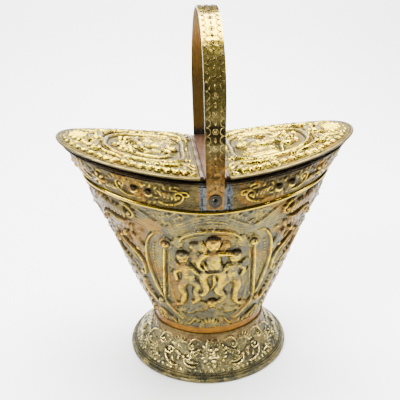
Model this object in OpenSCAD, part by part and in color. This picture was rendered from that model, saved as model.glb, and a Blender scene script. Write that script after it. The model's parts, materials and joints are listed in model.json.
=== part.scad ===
// Coal scuttle of embossed sheet brass: a flared oval foot, a fan-shaped tub with a
// saddle-curved rim, two curved lids hinged on a centre bar, and a fixed strap handle.
// Millimetres, +Z up, +X to the right, front at -Y. The origin is under the foot's middle,
// on the surface that the scuttle stands on.

/* [Foot] */
// Half length of the foot over its rolled edge
foot_half_length = 130; // [124:1:138]
// Outer radius of the rolled edge
foot_roll_radius = 3.3; // [2.8:0.1:4]
// Flat worn on the underside of the rolled edge, as a height cut off the roll
foot_flat = 0.3; // [0.2:0.1:0.6]
// Height of the foot skirt's top edge
foot_height = 57; // [50:1:64]
// Sheet thickness of the foot
foot_wall = 1.2; // [0.9:0.1:1.8]

/* [Neck] */
// Half length of the neck
neck_half_length = 88; // [82:1:92]
// Half depth of the neck
neck_half_depth = 73.5; // [68:0.5:76]
// Height of the plain neck band
neck_band_height = 12.4; // [9:0.2:16]
// Height of the half-round ring between foot and neck band
neck_ring_height = 4.6; // [3.6:0.2:5.6]
// Sheet thickness of the neck band
neck_wall = 1.2; // [0.9:0.1:1.8]
// Width of the flange inside the neck band that carries the floor
floor_flange = 9; // [6:0.5:14]
// Thickness of the tub floor
floor_thickness = 1.2; // [0.9:0.1:2.5]

/* [Tub] */
// Sheet thickness of the tub
tub_wall = 1.2; // [0.9:0.1:1.8]
// Height of the bead at the middle of the front
bead_height = 273; // [255:1:285]
// Half length of the bead, over all
bead_half_length = 180; // [170:1:186]
// Half depth of the bead, over all
bead_half_depth = 107.7; // [103:0.5:109]
// Radius of the bead wire
bead_radius = 2.8; // [2.2:0.1:3.4]
// How far the bead would rise at the collar's full half length
bead_rise = 37; // [25:1:44]
// How far the figures and leaves stand out of the tub's sheets
tub_emboss = 5.5; // [0:0.5:7]

/* [Collar] */
// Height of the rope wire above the bead, at the middle of the front
collar_height = 40.5; // [36:0.5:44]
// How far the collar flares out beyond the bead at its two ends
collar_flare_ends = 20; // [14:1:24]
// How far the collar flares out beyond the bead at front and back
collar_flare_sides = 2.3; // [1:0.1:4]
// How far the rope wire rises at the two ends
rim_rise = 33; // [24:1:38]
// Radius of the rope wire
rope_radius = 1.3; // [1:0.1:1.8]
// How far the plain lip reaches down inside the collar
lip_lap = 9; // [6:0.5:12]
// Thickness of the plain lip
lip_wall = 1.2; // [0.9:0.1:1.6]

/* [Lids] */
// Distance of each hinge axis from the middle of the bar
hinge_offset = 16.3; // [15.6:0.1:18]
// How far the lids reach beyond the collar at the two ends
lid_overhang_ends = 10; // [7:0.5:14]
// How far the lids reach beyond the collar at front and back
lid_overhang_sides = 4; // [3:0.5:6]
// How far the lids rise from hinge to tip
lid_rise = 36; // [28:1:40]
// Sheet thickness of the lid panels
lid_wall = 1.2; // [0.9:0.1:1.6]
// How far each panel is domed up in its middle
lid_dome = 5; // [2:0.5:8]
// Radius of the rolled edge round each lid
lid_edge_radius = 1.7; // [1.4:0.1:2]
// How far the figure and the tip's shell stand up from each lid panel
lid_emboss = 4; // [0:0.5:5]
// Distance of the middle of each lid's oval frame from the middle of the bar
lid_frame_centre = 91; // [89:1:94]
// Half length of the oval frame, from the hinge towards the tip
lid_frame_half_length = 50; // [44:1:52]
// Half depth of the oval frame, from front to back
lid_frame_half_depth = 60; // [50:1:64]

/* [Hinges] */
// Height of the hinge axes above the rope wire
hinge_rise = 8.2; // [7:0.1:11]
// Outer radius of the knuckles
knuckle_radius = 2.2; // [2:0.1:2.4]
// Radius of the hinge pins
pin_radius = 1.2; // [1:0.05:1.3]
// Number of knuckles in each hinge, an odd number
knuckle_count = 9; // [5:2:13]
// Gap between neighbouring knuckles
knuckle_gap = 0.6; // [0.4:0.1:1]
// Width of each hinge leaf under its lid
leaf_width = 15; // [11:1:22]
// Thickness of the hinge leaves
leaf_thickness = 1; // [0.8:0.1:1.2]
// Thickness of the centre bar
bar_thickness = 1.8; // [1.4:0.1:2.2]

/* [Handle] */
// Height of the handle's crown above the rope wire
handle_rise = 207.5; // [192:0.5:216]
// Width of the strap at its two ends
strap_end_width = 22.6; // [20:0.2:24]
// Width of the strap over the arch
strap_arch_width = 26; // [24:0.2:27]
// Thickness of the stamped strap
strap_thickness = 1.9; // [1.6:0.1:2.4]
// Thickness of the plain strip that lines the strap
backing_thickness = 1.2; // [0.8:0.1:1.6]
// Plain border along each edge of the stamped strap
strap_border = 1.7; // [1.2:0.1:2.4]
// Depth of the stamped field between the borders
strap_field_depth = 0.6; // [0.3:0.1:0.9]
// Height of the strap's lower end above the bead
strap_foot_rise = 6.5; // [5:0.5:9]
// Height of the rivets above the bead
rivet_rise = 19; // [17:0.5:25]
// Radius of the rivets' shanks
rivet_radius = 2.2; // [1.8:0.1:2.6]
// Radius of the rivets' domed heads
rivet_head_radius = 4.8; // [4:0.1:5.4]
// Outer radius of the ringed washers
washer_radius = 9; // [7.5:0.1:9.6]
// Leg width of the solder fillets beside the strap's ends
solder_leg = 4; // [3:0.2:5]

/* [Hidden] */

rim_height = bead_height + collar_height;
rim_half_length = bead_half_length + collar_flare_ends;
rim_half_depth = bead_half_depth + collar_flare_sides;
lid_half_length = rim_half_length + lid_overhang_ends;
lid_half_depth = rim_half_depth + lid_overhang_sides;
hinge_height = rim_height + hinge_rise;
handle_top = rim_height + handle_rise;
strap_foot_height = bead_height + strap_foot_rise;
rivet_height = bead_height + rivet_rise;
seat = 0.3;            // clearance between curved pieces that lie against each other
turning = 0.08;        // radial clearance of a hinge pin in its knuckles
brass = [0.72, 0.58, 0.30];
pale_brass = [0.80, 0.72, 0.48];
copper = [0.74, 0.46, 0.24];
dark_brass = [0.45, 0.38, 0.24];
solder_grey = [0.56, 0.58, 0.58];

// ---- oval of four tangent arcs, for the foot and the neck ----
arc_shift = (neck_half_length - neck_half_depth) / (2 - sqrt(2));
end_radius = neck_half_length - arc_shift;
side_radius = neck_half_depth + arc_shift;
oval_fn = 144;

// The child outline has x as the distance outside the neck oval and y as the height.
module oval_sweep() {
    for (end = [0, 180])
        rotate([0, 0, end]) translate([arc_shift, 0, 0]) rotate([0, 0, -45])
            rotate_extrude(angle=90, $fn=oval_fn) translate([end_radius, 0]) children();
    for (side = [0, 180])
        rotate([0, 0, side]) translate([0, -arc_shift, 0]) rotate([0, 0, 45])
            rotate_extrude(angle=90, $fn=oval_fn) translate([side_radius, 0]) children();
}

// ---- closed shells swept or lofted as rings of points ----
function flat_list(nested) = [for (row = nested) for (item = row) item];
// Side faces of a tube of rings, each ring having the same number of points
function tube_faces(rings, size, closed) = [
    for (r = [0 : rings - (closed ? 1 : 2)]) for (i = [0 : size - 1])
        let (n = (r + 1) % rings, j = (i + 1) % size)
            each [[r * size + i, n * size + i, n * size + j], [r * size + i, n * size + j, r * size + j]]];
function cap_faces(rings, size) = [
    [for (i = [0 : size - 1]) i],
    [for (i = [0 : size - 1]) rings * size - 1 - i]];
module sweep(rings, closed=false) {
    size = len(rings[0]);
    polyhedron(points = flat_list(rings),
        faces = closed ? tube_faces(len(rings), size, true)
            : concat(tube_faces(len(rings), size, false), cap_faces(len(rings), size)));
}

// ---- the saddle curve that rim, bead and lids share ----
rim_power = 1.68;
lid_power = 1.49;
function saddle(x, rise) = rise * pow(abs(x) / rim_half_length, rim_power);
function lid_saddle(x) = lid_rise
    * pow(max(0, abs(x) - hinge_offset) / (lid_half_length - hinge_offset), lid_power);
turn_steps = 72;
function turn(i) = 360 * i / turn_steps;

// ---- tub: outer surface at v = 0 (neck) to 1 (bead) ----
tub_bottom = foot_height + neck_band_height;
tub_bottom_half_length = neck_half_length - 1;
tub_bottom_half_depth = neck_half_depth - 1;
tub_top_half_length = bead_half_length - 2 * bead_radius - seat;
tub_top_half_depth = bead_half_depth - 2 * bead_radius - seat;
tub_flare = 1.07;
function tub_point(v, t, inset) =
    let (k = pow(v, tub_flare),
         a = tub_bottom_half_length + (tub_top_half_length - tub_bottom_half_length) * k - inset,
         b = tub_bottom_half_depth + (tub_top_half_depth - tub_bottom_half_depth) * k - inset,
         x = a * cos(t))
    [x, b * sin(t), tub_bottom + (bead_height - tub_bottom) * v + v * saddle(x, bead_rise)];
// Main forms of the stamping on a quarter of the tub, each a rounded ridge along a line. The line's two
// ends are given as the turn from the middle of the sheet and the share of the way up it; then come the
// ridge's half width and its height as a share of tub_emboss.
tub_forms = [
    [0, 0.76, 0, 0.52, 28, 1],         // figure in the middle
    [5, 0.5, 5, 0.36, 24, 0.85],       // its legs
    [15, 0.64, 12, 0.48, 22, 0.9],     // figures beside it
    [12, 0.46, 15, 0.27, 19, 0.55],    // their legs
    [0, 0.23, 9, 0.2, 16, 0.5],        // ground under them
    [25, 0.78, 31, 0.48, 12, 0.48],    // column and loop beside the panel
    [31, 0.46, 36, 0.24, 12, 0.48],
    [34, 0.22, 20, 0.1, 12, 0.45],
    [0, 0.92, 19, 0.88, 12, 0.4],      // ribbed bow over the panel
    [19, 0.88, 36, 0.92, 12, 0.4],
    [50, 0.88, 70, 0.87, 24, 0.66],    // scroll and comb under the bead
    [50, 0.6, 56, 0.24, 15, 0.5],      // stalk
    [72, 0.56, 75, 0.16, 34, 0.72],    // leaves that sweep up the end
    [90, 0.56, 90, 0.25, 18, 0.6],
    [80, 0.84, 86, 0.84, 30, 1],       // flower at the end
    [76, 0.66, 90, 0.67, 18, 0.7]];    // leaf under it
tub_ground = 0.28;     // small leaves raise the ground between the forms by this share of tub_emboss
function swell(distance, half_width) =
    distance < half_width ? (1 + cos(180 * distance / half_width)) / 2 : 0;
function distance_to_line(p, a, b) =
    let (line = b - a, share = max(0, min(1, ((p - a) * line) / (line * line))))
    norm(p - a - line * share);
// How far the sheet stands out at a point, running down to nothing at the neck and the bead
function tub_swell(v, t) =
    let (w = abs(t % 180 - 90), p = tub_point(v, w - 90, 0), edge = min(1, min(v, 1 - v) / 0.06))
    tub_emboss * edge * max(tub_ground, max([for (form = tub_forms)
        let (from = tub_point(form[1], form[0] - 90, 0), to = tub_point(form[3], form[2] - 90, 0))
        form[5] * swell(distance_to_line(p, from, to), form[4])]));
tub_rows = 15;
module tub_half(first) {
    sweep([for (i = [0 : turn_steps / 2])
        let (t = first + turn(i), out = [for (r = [0 : tub_rows]) tub_swell(r / tub_rows, t)])
        concat([for (r = [0 : tub_rows]) tub_point(r / tub_rows, t, -out[r])],
            [for (r = [tub_rows : -1 : 0]) tub_point(r / tub_rows, t, tub_wall - out[r])])]);
}

// ---- collar: outer surface at v = 0 (on the bead) to 1 (rope wire) ----
collar_wall = tub_wall;
collar_bottom_half_length = bead_half_length - bead_radius + collar_wall / 2;
collar_bottom_half_depth = bead_half_depth - bead_radius + collar_wall / 2;
collar_bottom = bead_height + bead_radius + seat;
collar_margin = 1.6;   // the collar's top edge stands this far above the rope wire
function collar_point(v, t, inset) =
    let (a = collar_bottom_half_length + (rim_half_length - collar_bottom_half_length) * v - inset,
         b = collar_bottom_half_depth + (rim_half_depth - collar_bottom_half_depth) * v - inset,
         x = a * cos(t),
         low = collar_bottom + saddle(x, bead_rise),
         high = rim_height + saddle(x, rim_rise))
    [x, b * sin(t), low + (high - low) * v];
collar_top = 1 + collar_margin / (rim_height - collar_bottom);
module collar_half(first) {
    sweep([for (i = [0 : turn_steps / 2])
        let (t = first + turn(i))
        [collar_point(0, t, 0), collar_point(collar_top, t, 0),
            collar_point(collar_top, t, collar_wall), collar_point(0, t, collar_wall)]]);
}
// Half depth of the collar's outer face at a height on the middle of the front
collar_slope = (rim_half_depth - collar_bottom_half_depth) / (rim_height - collar_bottom);
function collar_depth_at(z) = rim_half_depth + collar_slope * (min(z, rim_height) - rim_height);
collar_tilt = atan(collar_slope);

// ---- lip: follows the collar inside, then stands up to just under the lids ----
lid_underside = hinge_height - lid_wall / 2;
lip_inset = collar_wall + seat;
function lip_top(x) = lid_underside - seat + lid_saddle(x);
function lip_ring(t) =
    let (low = 1 - lip_lap / (rim_height - collar_bottom),
         outer_low = collar_point(low, t, lip_inset), outer_mid = collar_point(1, t, lip_inset),
         inner_low = collar_point(low, t, lip_inset + lip_wall),
         inner_mid = collar_point(1, t, lip_inset + lip_wall))
    [outer_low, outer_mid, [outer_mid[0], outer_mid[1], lip_top(outer_mid[0])],
     [inner_mid[0], inner_mid[1], lip_top(inner_mid[0])], inner_mid, inner_low];

// ---- hinge line ----
lip_inner_half_depth = rim_half_depth - lip_inset - lip_wall;
hinge_half_span = lip_inner_half_depth - 0.6;
knuckle_pitch = 2 * hinge_half_span / knuckle_count;
knuckle_length = knuckle_pitch - knuckle_gap;
bore_radius = pin_radius + turning;
plate_clearance = 0.5;  // between a plate's edge and the other half's knuckles
function knuckle_start(i) = -hinge_half_span + i * knuckle_pitch + knuckle_gap / 2;

module knuckles(first) {
    for (i = [first : 2 : knuckle_count - 1])
        translate([0, knuckle_start(i), 0]) rotate([-90, 0, 0])
            cylinder(r=knuckle_radius, h=knuckle_length, $fn=32);
}
module pin_bore() {
    translate([0, -hinge_half_span - 1, 0]) rotate([-90, 0, 0])
        cylinder(r=bore_radius, h=2 * hinge_half_span + 2, $fn=32);
}

// ---- lids ----
lid_power_outline = 2.06;
panel_inset = 2 * lid_edge_radius + 0.1;
lid_start = hinge_offset + knuckle_radius + plate_clearance;
// Radius of a rounded oblong in a direction
function oval_radius(angle, a, b, power) =
    pow(pow(abs(cos(angle)) / a, power) + pow(abs(sin(angle)) / b, power), -1 / power);
// Outline of the lid, measured from the scuttle's middle, drawn in by an inset
function lid_outline(angle, inset) =
    oval_radius(angle, lid_half_length - inset, lid_half_depth - inset, lid_power_outline)
    * [cos(angle), sin(angle)];
// The same outline by its height along Y, for the length of the hinge line
function lid_corner(inset) =
    let (a = lid_half_length - inset, b = lid_half_depth - inset)
    b * pow(1 - pow(lid_start / a, lid_power_outline), 1 / lid_power_outline);
function lid_height(x, y) =
    let (u = min(1, pow(x / lid_half_length, 2) + pow(y / lid_half_depth, 2)),
         near = min(1, (x - lid_start) / 40))
    hinge_height + lid_saddle(x) + lid_dome * (1 - u) * max(0, near);
lid_steps = 36;
corner_angle = atan(lid_corner(panel_inset) / lid_start);
hinge_line_steps = 6;
// The panel's edge: round its curve from front to back, then along the hinge line
panel_edge = concat(
    [for (i = [0 : lid_steps]) lid_outline(corner_angle * (2 * i / lid_steps - 1), panel_inset)],
    [for (i = [1 : hinge_line_steps - 1])
        [lid_start, lid_corner(panel_inset) * (1 - 2 * i / hinge_line_steps)]]);
// Rings of the panel's mesh round the middle of its oval frame, with 1 on the frame's crest and 2 on
// the edge, and how far the stamping stands up on each, as a share of lid_emboss
panel_rings = [[0.3, 0.8], [0.58, 0.4], [0.84, 0.25], [1, 0.7],
    [1.13, 0.3], [1.4, 0.7], [1.72, 0.1], [2, 0]];
frame_power = 2.5;
lid_middle = [lid_frame_centre, 0];
leaf_end = lid_start + leaf_width;
// A point of the panel: k as in panel_rings, towards a point of the edge
function panel_point(k, edge) =
    let (way = edge - lid_middle,
         crest = lid_middle + way / norm(way)
            * oval_radius(atan2(way[1], way[0]), lid_frame_half_length, lid_frame_half_depth, frame_power))
    k < 1 ? lid_middle + (crest - lid_middle) * k : crest + (edge - crest) * (k - 1);
// The stamping is higher at the tip's shell, and leaves the panel flat over the hinge leaf
function panel_swell(p, share) =
    let (tip = max(0, (p[0] - lid_middle[0]) / norm(p - lid_middle + [0.01, 0])))
    lid_emboss * share * (1 + 0.4 * pow(tip, 4)) * max(0, min(1, (p[0] - leaf_end) / 6));
function raised(p, share, side) =
    [p[0], p[1], lid_height(p[0], p[1]) + panel_swell(p, share) + side * lid_wall / 2];
module lid_panel() {
    size = len(panel_edge);
    function face(side) = concat([raised(lid_middle, 0.8, side)],
        [for (ring = panel_rings) for (edge = panel_edge)
            raised(panel_point(ring[0], edge), ring[1], side)]);
    count = 1 + size * len(panel_rings);
    function at(r, i) = 1 + r * size + i % size;
    up = concat([for (i = [0 : size - 1]) [0, at(0, i), at(0, i + 1)]],
        [for (r = [0 : len(panel_rings) - 2]) for (i = [0 : size - 1])
            each [[at(r, i), at(r + 1, i), at(r + 1, i + 1)], [at(r, i), at(r + 1, i + 1), at(r, i + 1)]]]);
    down = [for (f = up) [f[2] + count, f[1] + count, f[0] + count]];
    walls = [for (i = [0 : size - 1])
        let (a = at(len(panel_rings) - 1, i), b = at(len(panel_rings) - 1, i + 1))
        each [[a, a + count, b + count], [a, b + count, b]]];
    polyhedron(points = concat(face(1), face(-1)),
        faces = [for (f = concat(up, down, walls)) [f[2], f[1], f[0]]]);
}
module lid_edge() {
    sides = 6;
    angle_limit = atan(lid_corner(lid_edge_radius) / lid_start);
    sweep([for (i = [0 : lid_steps])
        let (angle = -angle_limit + 2 * angle_limit * i / lid_steps,
             c = lid_outline(angle, lid_edge_radius), d = lid_outline(angle + 0.1, lid_edge_radius),
             step = sqrt(pow(d[0] - c[0], 2) + pow(d[1] - c[1], 2)),
             out = [(d[1] - c[1]) / step, -(d[0] - c[0]) / step],
             z = hinge_height + lid_saddle(c[0]))
        [for (s = [0 : sides - 1]) let (w = 360 * s / sides)
            [c[0] + out[0] * lid_edge_radius * cos(w), c[1] + out[1] * lid_edge_radius * cos(w),
             z + lid_edge_radius * sin(w)]]]);
}
module lid_hinge() {
    leaf_top = -lid_wall / 2 - 0.02;
    leaf_half_span = hinge_half_span - 2.5;
    translate([hinge_offset, 0, hinge_height]) difference() {
        union() {
            knuckles(1);
            translate([knuckle_radius + plate_clearance, -leaf_half_span, leaf_top - leaf_thickness])
                cube([leaf_width, 2 * leaf_half_span, leaf_thickness]);
            for (i = [1 : 2 : knuckle_count - 1])
                translate([0, knuckle_start(i), leaf_top - leaf_thickness])
                    cube([knuckle_radius + plate_clearance + 1, knuckle_length, leaf_thickness]);
        }
        pin_bore();
    }
}
module hinge_pin() {
    translate([hinge_offset, -hinge_half_span, hinge_height]) rotate([-90, 0, 0])
        cylinder(r=pin_radius, h=2 * hinge_half_span, $fn=32);
}
module other_side() { mirror([1, 0, 0]) children(); }

// ---- handle ----
backing_inner = rim_half_depth + seat;
strap_outer = backing_inner + backing_thickness + strap_thickness;
arch_height = handle_top - strap_outer;
// Outline, in Y and Z, of a layer of the handle between two distances from the collar's face
function leg_line(depth, side) = [
    [side * (collar_depth_at(strap_foot_height) + seat + depth), strap_foot_height],
    [side * (backing_inner + depth), rim_height]];
function arch_line(depth) = [for (i = [0 : 48]) let (w = 180 * i / 48)
    [-(backing_inner + depth) * cos(w), arch_height + (backing_inner + depth) * sin(w)]];
function handle_line(depth) = concat(leg_line(depth, -1), arch_line(depth),
    [for (i = [1 : -1 : 0]) leg_line(depth, 1)[i]]);
function reversed(list) = [for (i = [len(list) - 1 : -1 : 0]) list[i]];
module handle_layer(inner, outer, inset) {
    low = strap_end_width / 2 - inset;
    high = strap_arch_width / 2 - inset;
    intersection() {
        translate([-strap_arch_width, 0, 0]) rotate([90, 0, 90])
            linear_extrude(2 * strap_arch_width)
                polygon(concat(handle_line(outer), reversed(handle_line(inner))));
        translate([0, strap_outer + 10, 0]) rotate([90, 0, 0])
            linear_extrude(2 * strap_outer + 20)
                polygon([[-low, strap_foot_height + inset], [low, strap_foot_height + inset],
                    [low, rim_height], [high, arch_height], [high, handle_top + 20],
                    [-high, handle_top + 20], [-high, arch_height], [-low, rim_height]]);
    }
}
// Places a child, drawn along its own +Z, square to the front strap at the rivet's height
module at_rivet(side) {
    rotate([0, 0, side < 0 ? 0 : 180])
        translate([0, -collar_depth_at(rivet_height), rivet_height])
            rotate([90 + collar_tilt, 0, 0]) children();
}
module at_rivets() { for (side = [-1, 1]) at_rivet(side) children(); }
stack = seat + backing_thickness + strap_thickness;   // from the collar to the strap's face
module rivet_hole(clearance) {
    at_rivets() translate([0, 0, -10]) cylinder(r=rivet_radius + clearance, h=30, $fn=32);
}
burr_thickness = 1;
washer_dish = 0.8;

// ================= the pieces =================
roll_centre = foot_half_length - neck_half_length - foot_roll_radius;
roll_height = foot_roll_radius - foot_flat;
roll_wall = 1.2;
function ring_arc(radius, first, last, steps) = [for (i = [0 : steps])
    let (w = first + (last - first) * i / steps)
    [roll_centre + radius * cos(w), roll_height + radius * sin(w)]];
// The skirt's cove, from under the neck ring down to the step above the rolled edge
cove_top = -0.4;
cove_reach = roll_centre - 6.5;
cove_foot = 2 * foot_roll_radius + 5;
cove_head = foot_height - neck_ring_height / 2 - seat;
cove_step = 1.2;       // the ring rests on this step at the skirt's top
function cove(s, inset) =
    [cove_top + cove_step + (cove_reach - cove_top - cove_step) * pow(s, 1.6) - inset,
     cove_head + (cove_foot - cove_head) * s - inset * s];
// The sheet comes down the cove, over a step, and curls round the wire
flat_angle = asin(roll_height / foot_roll_radius);
curl_end = -190;
skirt_outline = concat(
    [[cove_top, foot_height], [cove_top, cove_head]],
    [for (i = [0 : 5]) cove(i / 5, 0)],
    [[roll_centre - 4, cove_foot - 1], [roll_centre - 2.4, cove_foot - 3.2]],
    ring_arc(foot_roll_radius, 100, -flat_angle, 4),
    ring_arc(foot_roll_radius, flat_angle - 180, curl_end, 2),
    ring_arc(foot_roll_radius - roll_wall, curl_end, 120, 6),
    [[roll_centre - 3.4, cove_foot - 3.4 - foot_wall / 2],
        [roll_centre - 4.8, cove_foot - 1 - foot_wall]],
    [for (i = [5 : -1 : 2]) cove(i / 5, foot_wall)],
    [[cove_top - foot_wall, cove_head - foot_wall - cove_step], [cove_top - foot_wall, foot_height]]);
skirt_steps = 48;
// A point of the oval at an angle from +X, a distance outside the neck oval
function oval_point(outline_point, w) =
    let (d = outline_point[0], end = abs(cos(w)) >= cos(45) - 0.0001,
         centre = end ? [sign(cos(w)) * arc_shift, 0] : [0, -sign(sin(w)) * arc_shift],
         radius = (end ? end_radius : side_radius) + d)
    [centre[0] + radius * cos(w), centre[1] + radius * sin(w), outline_point[1]];
module foot_skirt() color(brass)
    sweep([for (i = [0 : skirt_steps - 1])
        [for (p = skirt_outline) oval_point(p, 360 * i / skirt_steps)]], closed=true);
module foot_wire() color(dark_brass)
    oval_sweep() translate([roll_centre, roll_height])
        circle(r=foot_roll_radius - roll_wall - 2 * seat, $fn=32);
module neck_ring() color(dark_brass)
    oval_sweep() polygon(concat(
        [[cove_top + 0.1, foot_height - neck_ring_height / 2]],
        [for (i = [0 : 8]) let (w = -90 + 180 * i / 8)
            [cove_top + 0.6 + neck_ring_height / 2 * cos(w), foot_height + neck_ring_height / 2 * sin(w)]],
        [[cove_top + 0.1, foot_height + neck_ring_height / 2]]));
module neck_band() color(copper)
    oval_sweep() polygon([[cove_top, foot_height], [cove_top - 0.6, tub_bottom],
        [cove_top - neck_wall - floor_flange, tub_bottom],
        [cove_top - neck_wall - floor_flange, tub_bottom - neck_wall],
        [cove_top - 0.6 - neck_wall, tub_bottom - neck_wall], [cove_top - neck_wall, foot_height]]);
module tub_floor() color(dark_brass)
    translate([0, 0, tub_bottom]) linear_extrude(floor_thickness)
        polygon([for (i = [0 : turn_steps - 1])
            [(tub_bottom_half_length - tub_wall - seat) * cos(turn(i)),
             (tub_bottom_half_depth - tub_wall - seat) * sin(turn(i))]]);
module body_front() color(brass) tub_half(180);
module body_back() color(brass) tub_half(0);
module collar_bead() color(pale_brass)
    sweep([for (i = [0 : turn_steps - 1])
        let (t = turn(i), a = bead_half_length - bead_radius, b = bead_half_depth - bead_radius,
             x = a * cos(t), y = b * sin(t), z = bead_height + saddle(x, bead_rise),
             nx = b * cos(t), ny = a * sin(t), n = sqrt(nx * nx + ny * ny))
        [for (s = [0 : 7]) let (w = 45 * s)
            [x + nx / n * bead_radius * cos(w), y + ny / n * bead_radius * cos(w),
             z + bead_radius * sin(w)]]], closed=true);
module collar_front() color(brass) difference() { collar_half(180); rivet_hole(0.1); }
module collar_back() color(brass) difference() { collar_half(0); rivet_hole(0.1); }
module rim_rope() color(pale_brass) {
    gap_angle = asin((strap_end_width / 2 + 1) / rim_half_length);
    steps = 34;
    for (first = [-90 + gap_angle, 90 + gap_angle])
        sweep([for (i = [0 : steps])
            let (t = first + (180 - 2 * gap_angle) * i / steps,
                 reach = rope_radius + 0.2, a = rim_half_length + reach, b = rim_half_depth + reach,
                 x = a * cos(t), y = b * sin(t), z = rim_height + saddle(x, rim_rise),
                 nx = b * cos(t), ny = a * sin(t), n = sqrt(nx * nx + ny * ny))
            [for (s = [0 : 5]) let (w = 60 * s)
                [x + nx / n * rope_radius * cos(w), y + ny / n * rope_radius * cos(w),
                 z + rope_radius * sin(w)]]]);
}
module rim_lip() color(dark_brass)
    sweep([for (i = [0 : turn_steps - 1]) lip_ring(turn(i))], closed=true);
module centre_bar() color(copper) {
    plate_half_width = hinge_offset - knuckle_radius - plate_clearance;
    plate_low = lid_underside - seat + 0.05 - hinge_height;
    translate([0, 0, hinge_height]) difference() {
        union() {
            translate([-plate_half_width, -rim_half_depth, plate_low])
                cube([2 * plate_half_width, 2 * rim_half_depth, bar_thickness]);
            for (side = [-1, 1]) {
                translate([side * hinge_offset, 0, 0]) knuckles(0);
                tab_start = side > 0 ? plate_half_width - 0.5 : -hinge_offset;
                for (i = [0 : 2 : knuckle_count - 1])
                    translate([tab_start, knuckle_start(i), plate_low])
                        cube([hinge_offset - plate_half_width + 0.5, knuckle_length, bar_thickness]);
            }
        }
        for (side = [-1, 1]) translate([side * hinge_offset, 0, 0]) pin_bore();
    }
}
module hinge_pin_left() color(dark_brass) other_side() hinge_pin();
module hinge_pin_right() color(dark_brass) hinge_pin();
module lid_left() color(pale_brass) other_side() lid_panel();
module lid_right() color(pale_brass) lid_panel();
module lid_edge_left() color(pale_brass) other_side() lid_edge();
module lid_edge_right() color(pale_brass) lid_edge();
module lid_hinge_left() color(brass) other_side() lid_hinge();
module lid_hinge_right() color(brass) lid_hinge();
module handle_strap() color(brass) difference() {
    handle_layer(backing_thickness, backing_thickness + strap_thickness, 0);
    handle_layer(backing_thickness + strap_thickness - strap_field_depth,
        backing_thickness + strap_thickness + 5, strap_border);
    rivet_hole(0);
}
module handle_backing() color(copper) difference() {
    handle_layer(0, backing_thickness, 0);
    rivet_hole(0);
}
module rivet_washers() color(dark_brass)
    at_rivets() translate([0, 0, stack]) difference() {
        cylinder(r=washer_radius, h=1.2, $fn=48);
        translate([0, 0, 1.2 - washer_dish + 0.2]) difference() {
            cylinder(r=washer_radius - 1.4, h=washer_dish, $fn=48);
            cylinder(r=rivet_head_radius + 1.2, h=washer_dish, $fn=48);
        }
        translate([0, 0, -1]) cylinder(r=rivet_radius, h=4, $fn=32);
    }
module handle_rivets() color(dark_brass) at_rivets() {
    head_height = 2.6;
    cap = (rivet_head_radius * rivet_head_radius + head_height * head_height) / (2 * head_height);
    translate([0, 0, -collar_wall - burr_thickness - 1]) cylinder(r=rivet_radius, h=stack + 1.2
        + collar_wall + burr_thickness + 1.5, $fn=32);
    translate([0, 0, stack + 1.2]) intersection() {
        translate([0, 0, head_height - cap]) sphere(r=cap, $fn=64);
        cylinder(r=rivet_head_radius, h=head_height + 1, $fn=48);
    }
    translate([0, 0, -collar_wall - seat - burr_thickness - 1.2])
        cylinder(r=rivet_radius + 0.9, h=1.2, $fn=32);
}
module rivet_burrs() color(copper)
    at_rivets() translate([0, 0, -collar_wall - seat - burr_thickness]) difference() {
        cylinder(r=washer_radius - 2, h=burr_thickness, $fn=48);
        translate([0, 0, -1]) cylinder(r=rivet_radius, h=4, $fn=32);
    }
module handle_solder() color(solder_grey)
    for (side = [-1, 1]) for (hand = [-1, 1])
        rotate([0, 0, side < 0 ? 0 : 180])
            translate([hand * (strap_end_width / 2 + 0.05),
                -collar_depth_at(strap_foot_height) - seat, strap_foot_height])
                rotate([collar_tilt, 0, 0]) mirror([hand < 0 ? 1 : 0, 0, 0])
                    linear_extrude(rim_height - strap_foot_height - 3)
                        polygon([[0, 0], [solder_leg, 0],
                            [solder_leg * 0.45, -stack * 0.35], [0, -stack * 0.9]]);

foot_skirt();
foot_wire();
neck_ring();
neck_band();
tub_floor();
body_front();
body_back();
collar_bead();
collar_front();
collar_back();
rim_rope();
rim_lip();
centre_bar();
hinge_pin_left();
hinge_pin_right();
lid_left();
lid_right();
lid_edge_left();
lid_edge_right();
lid_hinge_left();
lid_hinge_right();
handle_strap();
handle_backing();
rivet_washers();
handle_rivets();
rivet_burrs();
handle_solder();
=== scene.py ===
"""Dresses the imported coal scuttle: embossed brass sheets, wires, strap ornament, finishes and stage.

Heights of the embossed work and places on a flat-laid sheet are in millimetres. Everything that goes
into Blender is in metres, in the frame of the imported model: front at -Y, up +Z, floor at z = 0.
"""
import json
import math

import bpy
import numpy as np
from mathutils import Matrix, Vector


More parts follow.
